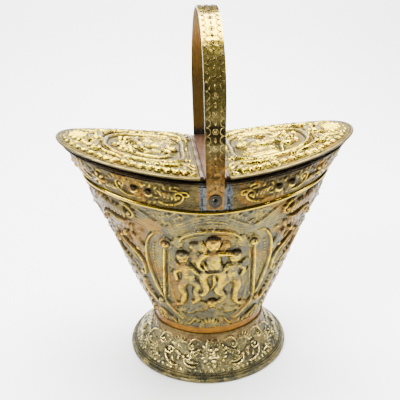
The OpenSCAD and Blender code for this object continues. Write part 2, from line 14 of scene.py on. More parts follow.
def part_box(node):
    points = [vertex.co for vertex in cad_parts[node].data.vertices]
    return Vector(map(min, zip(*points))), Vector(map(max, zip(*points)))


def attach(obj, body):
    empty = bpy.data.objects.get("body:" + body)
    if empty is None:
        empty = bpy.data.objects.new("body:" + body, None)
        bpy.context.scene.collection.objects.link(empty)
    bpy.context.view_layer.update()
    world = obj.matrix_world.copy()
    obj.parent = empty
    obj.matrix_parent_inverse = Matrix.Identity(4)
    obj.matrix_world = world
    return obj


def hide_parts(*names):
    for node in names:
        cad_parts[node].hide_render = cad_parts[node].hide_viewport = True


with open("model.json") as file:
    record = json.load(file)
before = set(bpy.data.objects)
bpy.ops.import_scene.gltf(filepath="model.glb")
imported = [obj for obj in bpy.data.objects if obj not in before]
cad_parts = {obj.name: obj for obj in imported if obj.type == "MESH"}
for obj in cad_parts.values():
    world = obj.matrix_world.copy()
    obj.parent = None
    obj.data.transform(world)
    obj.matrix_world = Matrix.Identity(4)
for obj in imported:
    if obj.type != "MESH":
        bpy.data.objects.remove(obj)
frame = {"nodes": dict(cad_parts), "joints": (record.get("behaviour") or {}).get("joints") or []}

bl_info = {
    "name": "Embossed Coal Scuttle",
    "version": (1, 0, 0),
    "blender": (4, 5, 0),
    "location": "View3D > Sidebar > Scuttle",
    "description": "Embossed sheets, wires, strap ornament, finishes and stage of a brass coal scuttle",
    "category": "Add Mesh",
}

MM = 0.001
CELL = 0.5                      # grain of a height map, in millimetres
ROUNDING = 0.6                  # how far a punch rounds the work off, in millimetres
COARSER = 3                     # the inner side of a sheet has every third point of the outer side


def corners(node):
    """Lowest and highest corner of a CAD node, in millimetres."""
    low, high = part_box(node)
    return np.array(low) / MM, np.array(high) / MM


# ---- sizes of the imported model, read from it or as in its source, in millimetres ----
WALL = 1.2
SEAT = 0.3                      # clearance between curved pieces that lie against each other
TUB_LOW = corners("body_front")[0][2]
TUB_LOW_HALF = corners("tub_floor")[1][:2] + 1.5
BEAD_HALF = corners("collar_bead")[1][:2]
BEAD_RADIUS = 2.8
BEAD_LOW = corners("collar_bead")[0][2] + BEAD_RADIUS
TUB_TOP_HALF = BEAD_HALF - 2 * BEAD_RADIUS - SEAT
RIM_HALF = np.array([200.0, 110.0])
ROPE_RADIUS = 1.3
RIM_LOW = corners("rim_rope")[0][2] + ROPE_RADIUS
COLLAR_LOW_HALF = BEAD_HALF - BEAD_RADIUS + WALL / 2
COLLAR_LOW = BEAD_LOW + BEAD_RADIUS + SEAT
BEAD_RISE, RIM_RISE, RIM_POWER = 37.0, 33.0, 1.68
HINGE = {joint["child"]: np.array(joint["pos_m"]) / MM for joint in frame["joints"]}
HINGE_OUT, HINGE_HIGH = HINGE["right_lid"][0], HINGE["right_lid"][2]
LID_HALF = corners("lid_edge_right")[1][:2]
LID_START = corners("lid_right")[0][0]
LID_RISE, LID_DOME, LID_EDGE_RADIUS = 36.0, 5.0, 1.7
LID_POWER, LID_SADDLE_POWER = 2.06, 1.49
LID_MARGIN = 3.5                # from the outside of the rolled edge to the panel
NECK_HALF = np.array([88.0, 73.5])
FOOT_MIDDLE = 16                # distance outside the neck where the foot's stamping has its true length
FOOT_HALF = corners("foot_skirt")[1][:2]
FOOT_HIGH = corners("foot_skirt")[1][2]
STRAP_HIGH = corners("handle_strap")[1][2]
STRAP_OUT = corners("handle_strap")[1][1]
STRAP_END_WIDTH = 22.6          # where the rope wire stops at it
LIP_LAP = 9                     # how far the inner lip reaches down inside the collar


# ================= height maps of the embossed work =================
def smooth_path(points, step=0.8):
    """A smooth line through the points, with a point every step or so."""
    points = np.asarray(points, float)
    if len(points) == 2:
        count = max(2, int(np.hypot(*(points[1] - points[0])) / step))
        return points[0] + (points[1] - points[0]) * np.linspace(0, 1, count + 1)[:, None]
    ends = np.vstack([2 * points[0] - points[1], points, 2 * points[-1] - points[-2]])
    pieces = []
    for a, b, c, d in zip(ends, ends[1:], ends[2:], ends[3:]):
        count = max(2, int(np.hypot(*(c - b)) / step))
        u = (np.arange(count) / count)[:, None]
        pieces.append(0.5 * (2 * b + (c - a) * u + (2 * a - 5 * b + 4 * c - d) * u ** 2
                             + (3 * b - a - 3 * c + d) * u ** 3))
    return np.vstack(pieces + [points[-1:]])


def spiral(centre, radius, start, turns):
    """Points of a scroll that winds inwards from an angle, in degrees. Negative turns run clockwise."""
    eye, steps = 0.12, 18
    share = np.linspace(0, 1, max(6, int(abs(turns) * steps)))
    angle = np.radians(start) + 2 * np.pi * turns * share
    reach = radius * (1 - (1 - eye) * share)
    return np.stack([centre[0] + reach * np.cos(angle), centre[1] + reach * np.sin(angle)], 1)


def unit(angle):
    """Cosine and sine of an angle in degrees."""
    return math.cos(math.radians(angle)), math.sin(math.radians(angle))


class Relief:
    """Height in millimetres of embossed work on a sheet laid flat, x along it and y up it."""

    def __init__(self, low, high):
        self.low = np.array(low, float)
        shape = np.ceil((np.array(high) - self.low) / CELL).astype(int) + 1
        self.h, self.cut, self.dark = (np.zeros((shape[1], shape[0])) for _ in range(3))

    def window(self, low, high):
        """The part of the map between two corners, as a slice, with its x and y."""
        a = np.clip(np.floor((np.asarray(low) - self.low) / CELL).astype(int), 0, None)
        b = np.ceil((np.asarray(high) - self.low) / CELL).astype(int) + 1
        b = np.minimum(b, [self.h.shape[1], self.h.shape[0]])
        if (b <= a).any():
            return None
        x = self.low[0] + CELL * np.arange(a[0], b[0])
        y = self.low[1] + CELL * np.arange(a[1], b[1])
        return (slice(a[1], b[1]), slice(a[0], b[0])), x[None, :], y[:, None]

    def lift(self, where, swell, melt):
        """Raises the map to a swelling, which melts into what is there over a height of melt."""
        there = self.h[where]
        blend = np.minimum(melt, 2 * np.minimum(there, swell)) + 1e-6
        joint = np.clip(blend - np.abs(there - swell), 0, None) ** 2 / (4 * blend)
        self.h[where] = np.maximum(there, swell) + joint

    def ridge(self, points, width, height, ends=(0.25, 0.25), flat=0.5, melt=0.0):
        """A rounded ridge along a smooth line; it thins out to the given shares at its ends."""
        path = smooth_path(points)
        share = np.linspace(0, 1, len(path))
        half = 0.5 * np.interp(share, np.linspace(0, 1, len(np.atleast_1d(width))), np.atleast_1d(width))
        taper = np.minimum(1, np.minimum(ends[0] + share * 4, ends[1] + (1 - share) * 4))
        half, top = half * taper, height * np.sqrt(taper)
        stroke = np.zeros_like(self.h)
        for first in range(0, len(path), 10):
            piece, w, tops = path[first:first + 11], half[first:first + 11], top[first:first + 11]
            found = self.window(piece.min(0) - w.max(), piece.max(0) + w.max())
            if found is None:
                continue
            where, x, y = found
            far = ((x[..., None] - piece[:, 0]) ** 2 + (y[..., None] - piece[:, 1]) ** 2) / w ** 2
            nearest = far.argmin(-1)
            stroke[where] = np.maximum(stroke[where], np.clip(1 - far.min(-1), 0, 1) ** flat * tops[nearest])
        found = self.window(path.min(0) - half.max(), path.max(0) + half.max())
        if found is not None:
            self.lift(found[0], stroke[found[0]], melt)

    def groove(self, points, width, depth):
        """Cuts a line into whatever is there."""
        path = smooth_path(points)
        for first in range(0, len(path), 10):
            piece = path[first:first + 11]
            found = self.window(piece.min(0) - width, piece.max(0) + width)
            if found is None:
                continue
            where, x, y = found
            far = ((x[..., None] - piece[:, 0]) ** 2 + (y[..., None] - piece[:, 1]) ** 2).min(-1)
            share = np.clip(1 - far / (width / 2) ** 2, 0, 1)
            self.cut[where] = np.maximum(self.cut[where], depth * share)

    def dome(self, centre, radii, height, turn=0.0, flat=0.5, add=False, melt=0.0):
        """A rounded boss, oval if it has two radii, turned by an angle in degrees."""
        radii = np.ones(2) * radii
        found = self.window(np.asarray(centre) - radii.max(), np.asarray(centre) + radii.max())
        if found is None:
            return
        where, x, y = found
        c, s = unit(turn)
        u = ((x - centre[0]) * c + (y - centre[1]) * s) / radii[0]
        v = (-(x - centre[0]) * s + (y - centre[1]) * c) / radii[1]
        swell = height * np.clip(1 - u * u - v * v, 0, 1) ** flat
        if add:
            self.h[where] += swell
        else:
            self.lift(where, swell, melt)

    def shade(self, centre, radii, amount=0.4):
        """Paints shade on a place, or with a minus amount paints a highlight."""
        radii = np.ones(2) * radii
        found = self.window(np.asarray(centre) - radii, np.asarray(centre) + radii)
        if found is not None:
            where, x, y = found
            far = ((x - centre[0]) / radii[0]) ** 2 + ((y - centre[1]) / radii[1]) ** 2
            self.dark[where] += amount * np.clip(1.6 - 1.6 * far, 0, 1)

    def ring(self, centre, radius, width, height):
        turn = np.linspace(0, 2 * np.pi, 25)
        self.ridge(np.stack([centre[0] + radius * np.cos(turn), centre[1] + radius * np.sin(turn)], 1),
                   width, height, ends=(1, 1))

    def petal(self, base, tip, width, height, bend=0.0, vein=True):
        """A pointed leaf from base to tip, widest a little past its middle."""
        base, tip = np.asarray(base, float), np.asarray(tip, float)
        across = np.array([base[1] - tip[1], tip[0] - base[0]]) * bend
        middle = (base + tip) / 2 + across
        self.ridge([base, middle, tip], [width * 0.45, width * 0.9, width, width * 0.7, width * 0.15],
                   height, ends=(0.5, 0.3))
        if vein:
            self.groove([base, middle, base + (tip - base) * 0.86 + across * 0.3], width * 0.22, height * 0.35)

    def petals(self, count, root, root_step, tip, tip_step, width, height, bend=0.0):
        """A row of pointed leaves, whose roots and tips move on by a step from leaf to leaf."""
        for number in range(count):
            self.petal(np.add(root, np.multiply(number, root_step)), np.add(tip, np.multiply(number, tip_step)),
                       width, height, bend)

    def acanthus(self, spine, width, height, lobes=5, side=0):
        """A leaf with a rib along its spine and pairs of curling lobes; side picks one row of them."""
        first, last = 0.12, 0.94
        path = smooth_path(spine)
        length = np.hypot(*np.diff(path, axis=0).T).sum()
        for number in range(lobes):
            share = first + (last - first) * number / lobes
            at = path[int(share * (len(path) - 1))]
            ahead = path[min(len(path) - 1, int(share * (len(path) - 1)) + 3)] - at
            ahead = ahead / max(1e-6, np.hypot(*ahead))
            aside = np.array([-ahead[1], ahead[0]])
            size = width / 2 * math.sin(math.pi * (0.25 + 0.7 * share)) * 1.15
            for hand in (-1, 1):
                if side and hand != side:
                    continue
                tip = at + ahead * size * 0.85 + aside * hand * size
                self.petal(at, tip, max(2.2, length / lobes * 0.62), height * 0.85, bend=-0.16 * hand)
        self.ridge(path[:: max(1, len(path) // 8)], [width * 0.14, width * 0.11, width * 0.05], height,
                   ends=(0.8, 0.2))

    def scroll(self, path, centre, radius, start, turns, width, height):
        """A stem that runs along a path into a curl with a ball in its eye."""
        curl = spiral(centre, radius, start, turns)
        self.ridge(np.vstack([path, curl[1:]]) if len(path) else curl, [width, width, width * 0.6], height,
                   ends=(0.3, 0.7))
        self.dome(centre, width * 0.62, height * 1.1)

    def beads(self, points, pitch, radius, height):
        path = smooth_path(points, 0.4)
        along = np.concatenate([[0], np.hypot(*np.diff(path, axis=0).T).cumsum()])
        for place in np.arange(pitch / 2, along[-1], pitch):
            at = [np.interp(place, along, path[:, 0]), np.interp(place, along, path[:, 1])]
            self.dome(at, radius, height)

    def shell(self, centre, radius, towards, spread, ribs, height):
        """A fan of ribs from a point, with a scalloped edge."""
        for number in range(ribs):
            angle = math.radians(towards + spread * (number / (ribs - 1) - 0.5))
            reach = radius * (1 - 0.18 * abs(2 * number / (ribs - 1) - 1))
            tip = np.array([centre[0] + reach * math.cos(angle), centre[1] + reach * math.sin(angle)])
            width = 2 * reach * math.tan(math.radians(spread / (ribs - 1)) / 2) * 0.98
            self.ridge([centre, tip], [width * 0.12, width * 0.5, width], height, ends=(0.6, 0.6))

    def flower(self, centre, radius, petals, height, turn=0.0):
        for number in range(petals):
            angle = 2 * math.pi * number / petals + math.radians(turn)
            out = np.array([math.cos(angle), math.sin(angle)])
            self.petal(np.array(centre) + out * radius * 0.25, np.array(centre) + out * radius,
                       radius * 2.3 / petals * 1.25, height * 0.8)
        self.dome(centre, radius * 0.3, height)

    def mirror(self, axis=1):
        """Copies whatever is higher across the map's middle line: x = 0, or y = 0 for axis 0."""
        self.h, self.cut = (np.maximum(v, np.flip(v, axis)) for v in (self.h, self.cut))
        self.dark = self.dark + np.flip(self.dark, axis)

    def places(self):
        """The x and y of the map's cells."""
        return (self.low[0] + CELL * np.arange(self.h.shape[1]),
                self.low[1] + CELL * np.arange(self.h.shape[0])[:, None])

    def fill(self, low, high, pitch, height, seed, inside=lambda at: True):
        """Small curled leaves wherever the ground between two corners is still bare."""
        rng = np.random.default_rng(seed)
        for y in np.arange(low[1] + pitch / 2, high[1], pitch):
            for x in np.arange(low[0] + pitch / 2, high[0], pitch):
                at = np.array([x, y]) + rng.uniform(-0.3, 0.3, 2) * pitch
                angle = rng.uniform(0, 2 * math.pi)
                ahead = np.array([math.cos(angle), math.sin(angle)]) * pitch * 0.62
                if inside(at) and self.read(self.h, *at) + self.read(self.h, *(at + ahead)) < 0.7:
                    self.petal(at - ahead, at + ahead, pitch * 0.62, height, rng.choice([-0.3, 0.3]))

    def finish(self, up=1.0, bite=1.0):
        """Cuts the grooves in, rounds the work off, finds what is rubbed, paints light on slopes that face down
        and shade on those that face up, and adds the marked painted shade.
        """
        self.h = blur(self.h - self.cut, ROUNDING)
        # painted light on slopes that face down, painted shade on slopes that face up
        facing_down = np.gradient(blur(self.h, 0.8), CELL, axis=0) * up
        proud = (self.h - blur(self.h, 3.0)) / 1.5 * bite
        # rubbed high points and tarnished hollows, plus the painted light and shade and the marked painted
        # shade
        self.wear = np.clip(0.5 + 0.42 * proud + 0.20 * np.clip(facing_down, -1.4, 1.4) - self.dark, 0, 1)
        return self

    def read(self, values, x, y):
        """Values of a map at the given places, straight between its cells."""
        u = np.clip((np.asarray(x) - self.low[0]) / CELL, 0, self.h.shape[1] - 1.001)
        v = np.clip((np.asarray(y) - self.low[1]) / CELL, 0, self.h.shape[0] - 1.001)
        i, j = u.astype(int), v.astype(int)
        fx, fy = u - i, v - j
        return ((values[j, i] * (1 - fx) + values[j, i + 1] * fx) * (1 - fy)
                + (values[j + 1, i] * (1 - fx) + values[j + 1, i + 1] * fx) * fy)


def blur(values, width):
    """Softens a map over a width in millimetres, by three running means each way."""
    reach = max(1, int(round(width / CELL / 2)))
    for _ in range(3):
        for axis in (0, 1):
            padded = np.pad(values, [(reach + 1, reach) if k == axis else (0, 0) for k in (0, 1)], "edge")
            total = padded.cumsum(axis)
            size = 2 * reach + 1
            values = (np.take(total, range(size, total.shape[axis]), axis)
                      - np.take(total, range(0, total.shape[axis] - size), axis)) / size
    return values


# ---- what is stamped on each sheet ----
TUB_TALL = 206.0                # height of a tub sheet laid flat
COLLAR_TALL = 41.0              # height of a collar strip laid flat
FOOT_TALL = 60.0                # length of the foot's slope laid flat


def axes_at(at, size, turn):
    """Gives places round a point, on axes turned by an angle in degrees, in shares of a size."""
    c, s = unit(turn)
    return lambda x, y: np.array(at) + size * np.array([x * c - y * s, x * s + y * c])


def cherub_head(m, at, size, height, turn=0.0):
    """A round head with a calm, plain face and short curls."""
    place = axes_at(at, size, turn)
    m.dome(place(0, 0), [size, size * 1.14], height, turn)
    for x in (-0.40, 0.40):
        m.dome(place(x, -0.34), size * 0.36, height * 1.02, melt=1)
        m.groove([place(x - 0.18, 0.08), place(x + 0.18, 0.08)], size * 0.26, height * 0.16)
    m.ridge([place(0, 0.20), place(0, -0.18)], size * 0.26, height * 1.12)
    m.groove([place(-0.2, -0.54), place(0.2, -0.54)], size * 0.17, height * 0.12)
    m.dome(place(0, 0.52), [size * 0.98, size * 0.78], height * 0.98, turn, melt=1)
    for angle in range(-20, 201, 20):
        c, s = unit(angle)
        m.dome(place(0.90 * c, 0.34 + 0.86 * s), size * 0.20, height * 0.86)
        m.dome(place(0.58 * c, 0.56 + 0.52 * s), size * 0.18, height * 1.04)
    # painted shade over the top of the hair
    m.shade(place(0, 1.06), [size * 0.98, size * 0.46], 0.26)


def cherub(m, head, size, turn, chest, hips, arms, legs, high, wings=()):
    """A chubby cherub: head, body from chest to hips, arms and legs as lines of joints, and wings."""
    body = Relief(m.low, m.low + CELL * (np.array(m.h.shape[::-1]) - 1))
    chest, hips = np.array(chest, float), np.array(hips, float)
    for root, tip in wings:
        root, tip = np.array(root, float), np.array(tip, float)
        aside = np.array([root[1] - tip[1], tip[0] - root[0]]) * 0.34
        for number in range(5):
            share = number / 4 - 0.5
            m.petal(root, tip + aside * share * 2 - (tip - root) * 0.18 * abs(share), size * 0.62, high * 0.62)
    lean = math.degrees(math.atan2(*(chest - hips))) * -1
    body.dome(chest, [size * 1.28, size * 1.08], high * 0.92, lean)
    body.dome((chest + hips) / 2, [size * 1.18, size * 1.2], high * 0.95, lean, melt=3)
    body.dome(hips, [size * 1.34, size * 1.02], high, lean, melt=3)
    body.dome(chest * 0.42 + hips * 0.58, [size * 0.62, size * 0.62], high * 1.12, flat=0.8, melt=2)
    for points in legs:
        body.ridge(points, np.multiply(size, (1.85, 1.7, 1.15, 1.25, 0.66)), high * 0.95, (0.9, 0.9), melt=2)
        top, knee = np.array(points[0], float), np.array(points[2], float)
        across = np.array([top[1] - knee[1], knee[0] - top[0]]) / np.hypot(*(knee - top)) * size
        body.groove([top - across * 0.8, top + [0, -size * 0.12], top + across * 0.8], size * 0.20, high * 0.24)
        body.groove([knee - across * 0.45, knee + across * 0.45], size * 0.16, high * 0.16)
        toes = 20 if points[-1][0] > points[-2][0] else -20
        body.dome(points[-1], [size * 0.62, size * 0.36], high * 0.72, toes, melt=1)
    for points in arms:
        body.ridge(points, np.multiply(size, (1.2, 1.08, 0.86, 0.6)), high * 0.92, (0.9, 0.9), melt=1.5)
        body.dome(points[-1], size * 0.38, high * 0.76, melt=1)
    body.groove([hips + [0, size * 0.1], hips + [size * 0.1, -size * 0.5]], size * 0.2, high * 0.14)
    for drop in (0.30, 1.25):
        body.groove([chest + [-size * 0.6, -size * drop], chest + [0, -size * (drop + 0.16)],
                     chest + [size * 0.6, -size * drop]], size * 0.16, high * 0.14)
    body.dome(chest * 0.35 + hips * 0.65, size * 0.13, high * 1.2)
    m.h = np.maximum(m.h, body.h)
    m.cut = np.where(body.h > 0.6, body.cut, m.cut)
    cherub_head(m, head, size, high * 1.12, turn)


def folds(m, points, width, height, count, spread):
    """Cloth: a bundle of ridges beside each other that come together at the start."""
    points = np.array(points, float)
    for number in range(count):
        share = np.linspace(0.25, 1, len(points)) * spread * (number / (count - 1) - 0.5)
        m.ridge(points + np.stack([share * 0.5, share], 1), width, height * (0.8 + 0.2 * (number % 2)))


def cherub_group(m):
    """Cherubs at play among cloth, rocks and leaves, with one more behind and a winged head below."""
    folds(m, [(-58, 96), (-48, 108), (-36, 112), (-26, 106)], 2.6, 2.4, 4, 12)
    folds(m, [(-56, 84), (-44, 84), (-32, 88)], 2.2, 2.0, 3, 9)
    folds(m, [(58, 108), (50, 98), (44, 90), (36, 84)], 2.6, 2.4, 4, 11)
    folds(m, [(52, 146), (42, 150), (30, 147)], 2.2, 2.0, 3, 8)
    m.petals(6, (54, 74), (-1, -5), (61, 84), (-1, -6), 4.6, 2.2, 0.1)
    m.petals(6, (-55, 74), (1.2, -5.5), (-61, 84), (1.4, -6.5), 4.6, 2.2, -0.1)
    # behind, to the left
    cherub(m, (-21, 150), 6.6, 16, (-20, 138), (-18, 128), [[(-26, 138), (-34, 132), (-30, 124)]], [], 3.4)
    # the one on the right, striding
    cherub(m, (34, 131), 8.2, -14, (33, 115), (31, 101),
           [[(27, 118), (18, 111), (10, 106)], [(39, 117), (48, 109), (44, 98)]],
           [[(27, 95), (17, 86), (14, 76), (20, 62), (13, 54)],
            [(36, 94), (40, 80), (37, 66), (38, 50), (45, 46)]], 5.8,
           [((40, 112), (59, 122))])
    # the one on the left, stepping up
    cherub(m, (-37, 132), 8.2, 14, (-33, 116), (-30, 101),
           [[(-27, 117), (-17, 107), (-6, 103)], [(-39, 114), (-48, 106), (-46, 94)]],
           [[(-26, 94), (-17, 84), (-20, 72), (-17, 60), (-23, 53)],
            [(-35, 92), (-40, 78), (-36, 66), (-39, 50), (-46, 47)]],
           5.8, [((-39, 112), (-57, 124))])
    # the one in the middle, seated above them, with cloth over the lap
    cherub(m, (4, 155), 9.4, 4, (4, 137), (5, 119),
           [[(-4, 141), (-13, 134), (-16, 122), (-8, 114)], [(12, 141), (22, 140), (31, 138)]],
           [[(0, 112), (-9, 102), (-8, 90), (-5, 76), (-11, 69)],
            [(10, 112), (17, 100), (13, 88), (10, 74), (16, 68)]], 7.0,
           [((-4, 144), (-19, 159)), ((13, 145), (27, 158))])
    folds(m, [(-10, 128), (-4, 116), (6, 110), (18, 116)], 2.8, 7.6, 3, 7)
    folds(m, [(6, 112), (5, 100), (6, 88), (2, 78)], 2.8, 5.4, 4, 10)
    # painted shade across the middle one's waist, under the cloth
    m.shade((3, 113), [13, 4.6], 0.4)
    # rocks and leaves on the ground
    for x, y in ((-50, 42), (-39, 35), (-27, 33), (27, 33), (38, 35), (49, 42), (-15, 38), (24, 40)):
        m.dome((x, y), [8, 4.5], 2.8, 24 if x < 0 else -24, melt=1)
        m.petal((x - 5, y - 4), (x + 3, y + 3), 4, 3.2, 0.1)
        m.petal((x + 5, y - 5), (x - 1, y + 4), 3.6, 2.6, -0.1)
    for hand in (-1, 1):
        m.petals(5, (4 + hand * 4, 46), (0, -1), (4 + hand * 21, 53), (-2 * hand, -4.6), 4.6, 3.2, 0.12 * hand)
    cherub_head(m, (4, 49), 7.0, 5.6)


def tub_relief():
    """A tub sheet: x from the panel's middle line, y up from the neck."""
    m = Relief((-232, 0), (232, TUB_TALL))
    # ribbed bow over the panel, pinched beside it and caught up in a scroll
    for number in range(6):
        drop, pinch = 4.4 * number, 2.6 * number
        bow = [(0, 200 - drop), (20, 197 - drop), (38, 187 - drop), (54, 179 - pinch), (68, 180 - pinch),
               (84, 189 - drop * 0.9), (98, 195 - drop * 1.05), (112, 197 - drop * 1.1)]
        m.ridge(bow, [4.6, 4.8, 4.4, 3.4, 3.4, 4.6, 5.0, 4.0], 2.0 - 0.14 * number, flat=0.45)
        m.groove([(x, y - 2.2) for x, y in bow], 1.2, 1.2)
        if number in (0, 3):
            m.beads([(x, y - 2.3) for x, y in bow[:7]], 3.4, 1.0, 2.0 - 0.14 * number)
    for x, y in ((34, 200), (62, 194), (78, 199), (20, 202)):
        m.flower((x, y), 4.4, 5, 2.0, x)
    # frame of the panel
    m.ridge([(0, 177), (16, 176), (30, 171), (40, 163), (44, 152)], [6.5, 6, 5, 3.6, 2.6], 4.4)
    m.ridge([(0, 168.5), (18, 167.5), (33, 160), (40, 150)], 2.2, 1.8)
    m.ridge([(61.5, 156), (63.5, 130), (65, 95), (66, 60), (66, 44)], [4.2, 4.4, 4.2, 4.6, 5.4], 4.6)
    m.ridge([(54.5, 150), (57, 125), (58.5, 90), (60, 52)], 2.4, 2.2)
    m.ridge([(66, 48), (56, 36), (44, 24), (33, 15)], [7.5, 6.6, 5.4, 3.4], 4.8)
    m.ridge([(59, 46), (48, 34), (36, 22), (26, 17)], 2.6, 2.5)
    m.dome((60.5, 151), 6.0, 7.0)
    m.ring((60.5, 151), 8.0, 2.6, 3.2)
    m.shell((53, 154), 17, 165, 80, 6, 3.4)
    m.dome((60, 57), 2.6, 2.6)
    # long loop beside the panel, with two strings of beads in it
    m.ridge([(61, 160), (69, 167), (79, 163), (87, 148), (89.5, 126), (87, 104), (81, 82), (74, 62), (67, 46)],
            [3.0, 3.8, 4.2, 4.4, 4.0, 3.8, 4.4, 5.4], 4.4)
    m.beads([(77, 150), (79.5, 132), (78, 110), (74, 86), (70, 66)], 5.2, 2.1, 2.3)
    m.beads([(71, 144), (73, 122), (71.5, 96)], 4.6, 1.5, 1.5)
    # double stalk that hangs from the outer foliage and ends in a curl
    m.scroll([(140, 146), (122, 136), (106, 124), (97, 110), (95, 96)], (99.5, 92), 5.4, 170, 0.9, 4.6, 4.4)
    m.ridge([(143, 138), (127, 128), (112, 116), (104, 104)], 3.0, 3.2)
    m.ridge([(132, 154), (114, 142), (100, 130), (92, 116)], 2.8, 2.8)
    # leaves that sweep into the foot of the loop
    m.scroll([(106, 84), (97, 63), (85, 46), (73, 39)], (71.5, 46), 6.5, 265, 0.7, 5.6, 4.8)
    m.petals(6, (83, 46), (3.4, 7), (100, 66), (3.4, 6), 7.4, 4.2, -0.2)
    m.petals(5, (95, 126), (3, 3), (99, 147), (4, 3), 6.4, 3.6, 0.18)
    m.dome((101, 134), 4.0, 5.4)
    # scroll and comb of petals under the bead
    m.scroll([(126, 196), (119, 199), (110, 196)], (109.5, 186), 7.0, 100, 1.1, 4.0, 4.4)
    m.petals(8, (117, 177), (5.2, 0.6), (122, 193), (5.6, 0.8), 6.0, 5.0, 0.15)
    m.scroll([(110, 172), (126, 171), (142, 176), (154, 174)], (155, 165), 8.0, 80, 1.2, 5.2, 5.0)
    m.petals(7, (108, 170), (5.6, 0.6), (113, 157), (6, 1.4), 6.4, 3.8, -0.15)
    m.dome((119, 153), 5.4, 6.0)
    m.dome((129, 146), 3.2, 4.4)
    # flower, shells and acanthus at the two ends of the sheet
    m.dome((186, 172), [34, 36], 3.4, add=True)
    m.flower((190, 174), 25, 8, 7.4, 12)
    m.flower((190, 174), 14, 7, 8.8, 34)
    m.scroll([(166, 196), (178, 201), (196, 200), (208, 192)], (212, 184), 6.5, 40, -1.1, 4.6, 5.0)
    m.shell((160, 186), 17, 130, 130, 6, 5.0)
    m.acanthus([(158, 150), (172, 138), (190, 132), (208, 136), (222, 146)], 27, 5.6, 6)
    m.acanthus([(128, 10), (126, 40), (131, 70), (142, 98), (158, 122)], 46, 5.2, 7)
    m.acanthus([(98, 6), (102, 26), (112, 44), (126, 56)], 28, 4.4, 5)
    m.acanthus([(160, 34), (164, 66), (174, 96), (190, 122)], 38, 4.8, 6)
    m.acanthus([(192, 30), (197, 60), (206, 90), (218, 116)], 32, 4.6, 6)
    m.scroll([(114, 90), (122, 104), (136, 113), (148, 132)], (140, 136), 9.0, -20, 1.2, 5.0, 4.8)
    m.scroll([(210, 152), (200, 153), (190, 148)], (190, 154), 6, 260, 1.1, 4.2, 4.2)
    m.scroll([(150, 8), (160, 16), (174, 20)], (181, 14), 7, 120, -1.2, 4.0, 4.0)
    m.petals(6, (176, 4), (8, 0), (182, 18), (8, 1), 6.0, 3.2)
    for number in range(8):
        m.dome((108 + 8.6 * number, 60 + 13 * number), 2.8, 3.2)
    # fan and scrolls over the neck
    m.shell((0, 1), 19, 90, 150, 9, 3.6)
    m.scroll([(36, 3), (29, 9), (24, 15)], (18.5, 15.5), 5.2, 0, 1.1, 3.4, 3.4)
    m.scroll([(46, 3), (56, 12), (69, 20)], (77, 18), 6.8, 160, -1.1, 4.0, 3.8)
    m.petals(6, (42, 2), (8, 0), (47, 15), (9, 1), 6.4, 3.2)
    m.ridge([(0, 204.2), (232, 204.2)], 1.8, 0.9, ends=(1, 1))
    m.fill((92, 4), (226, 202), 9.0, 2.4, 3)
    m.fill((5, 176), (92, 203), 5.0, 1.9, 8)
    m.mirror()
    cherub_group(m)
    return m.finish()


def collar_relief():
    """A collar strip: x from the front's middle, y up from the bead."""
    m = Relief((-252, 0), (252, COLLAR_TALL))
    m.ridge([(16, 34.5), (120, 34.5), (200, 34.5), (252, 34.5)], 1.4, 0.8, ends=(1, 1))
    m.ridge([(16, 3.2), (252, 3.2)], 1.4, 0.8, ends=(1, 1))
    m.scroll([(74, 7), (60, 6), (46, 10), (40, 18)], (46.5, 19.5), 6.6, 180, -1.3, 3.0, 3.0)
    m.scroll([(60, 26), (52, 28), (42, 27)], (37, 22.5), 4.6, 80, 1.0, 2.4, 2.6)
    m.petals(5, (50, 12), (4.4, 1.2), (54, 24), (5.4, 0.6), 4.4, 2.6, 0.2)
    for x, y in ((84, 18.5), (103, 19.5)):
        m.dome((x, y), 6.4, 5.4)
        m.dome((x, y + 0.8), 1.4, 6.2)
        m.ring((x, y), 8.2, 1.6, 1.5)
        # painted shade on the fruit's top
        m.shade((x, y + 2.9), [5.4, 3.8], 0.5)
        # painted highlight on the fruit's lower part
        m.shade((x, y - 3.8), [5.4, 3.0], -0.6)
    m.acanthus([(70, 9), (84, 7), (97, 10), (106, 18)], 10, 2.2, 5)
    m.petal((92, 25), (96, 33), 5, 2.2)
    m.petal((78, 25), (73, 32), 5, 2.2)
    m.scroll([(98, 9), (112, 8), (124, 14), (128, 22)], (121.5, 24), 6.4, 0, 1.3, 3.0, 2.8)
    m.acanthus([(106, 20), (116, 30), (130, 31), (141, 24)], 12, 2.4, 5)
    m.petal((126, 12), (146, 9), 8.5, 3.0, 0.22)
    m.petal((130, 17), (146, 18), 6.5, 2.4, -0.15)
    m.flower((155, 19), 11.5, 6, 4.0, 20)
    m.scroll([(168, 8), (180, 8), (190, 14), (193, 22)], (187, 23), 6.2, 0, 1.3, 3.0, 2.8)
    m.acanthus([(166, 16), (176, 28), (190, 31), (202, 25)], 13, 2.4, 5)
    m.petal((170, 11), (182, 17), 6, 2.4)
    for x, y in ((207, 16), (217, 20)):
        m.dome((x, y), 5.0, 4.0)
    m.acanthus([(198, 9), (212, 6), (226, 9), (238, 17)], 13, 2.6, 6)
    m.scroll([(244, 8), (238, 16), (234, 24)], (239, 26), 4.6, 180, -1.1, 2.6, 2.6)
    m.fill((44, 5), (244, 33), 7.0, 1.8, 4)
    m.mirror()
    m.finish(bite=1.5)
    # the plain margin, rubbed, and a painted shadow under the lids' edges, painted black
    x, y = m.places()
    m.wear = np.where(y > 35.5, m.wear + 0.10, m.wear)
    m.wear = np.where(y > 39.5 - 4.5 * np.sin(math.pi * np.clip(np.abs(x) / 235, 0, 1)), 0.0, m.wear)
    return m


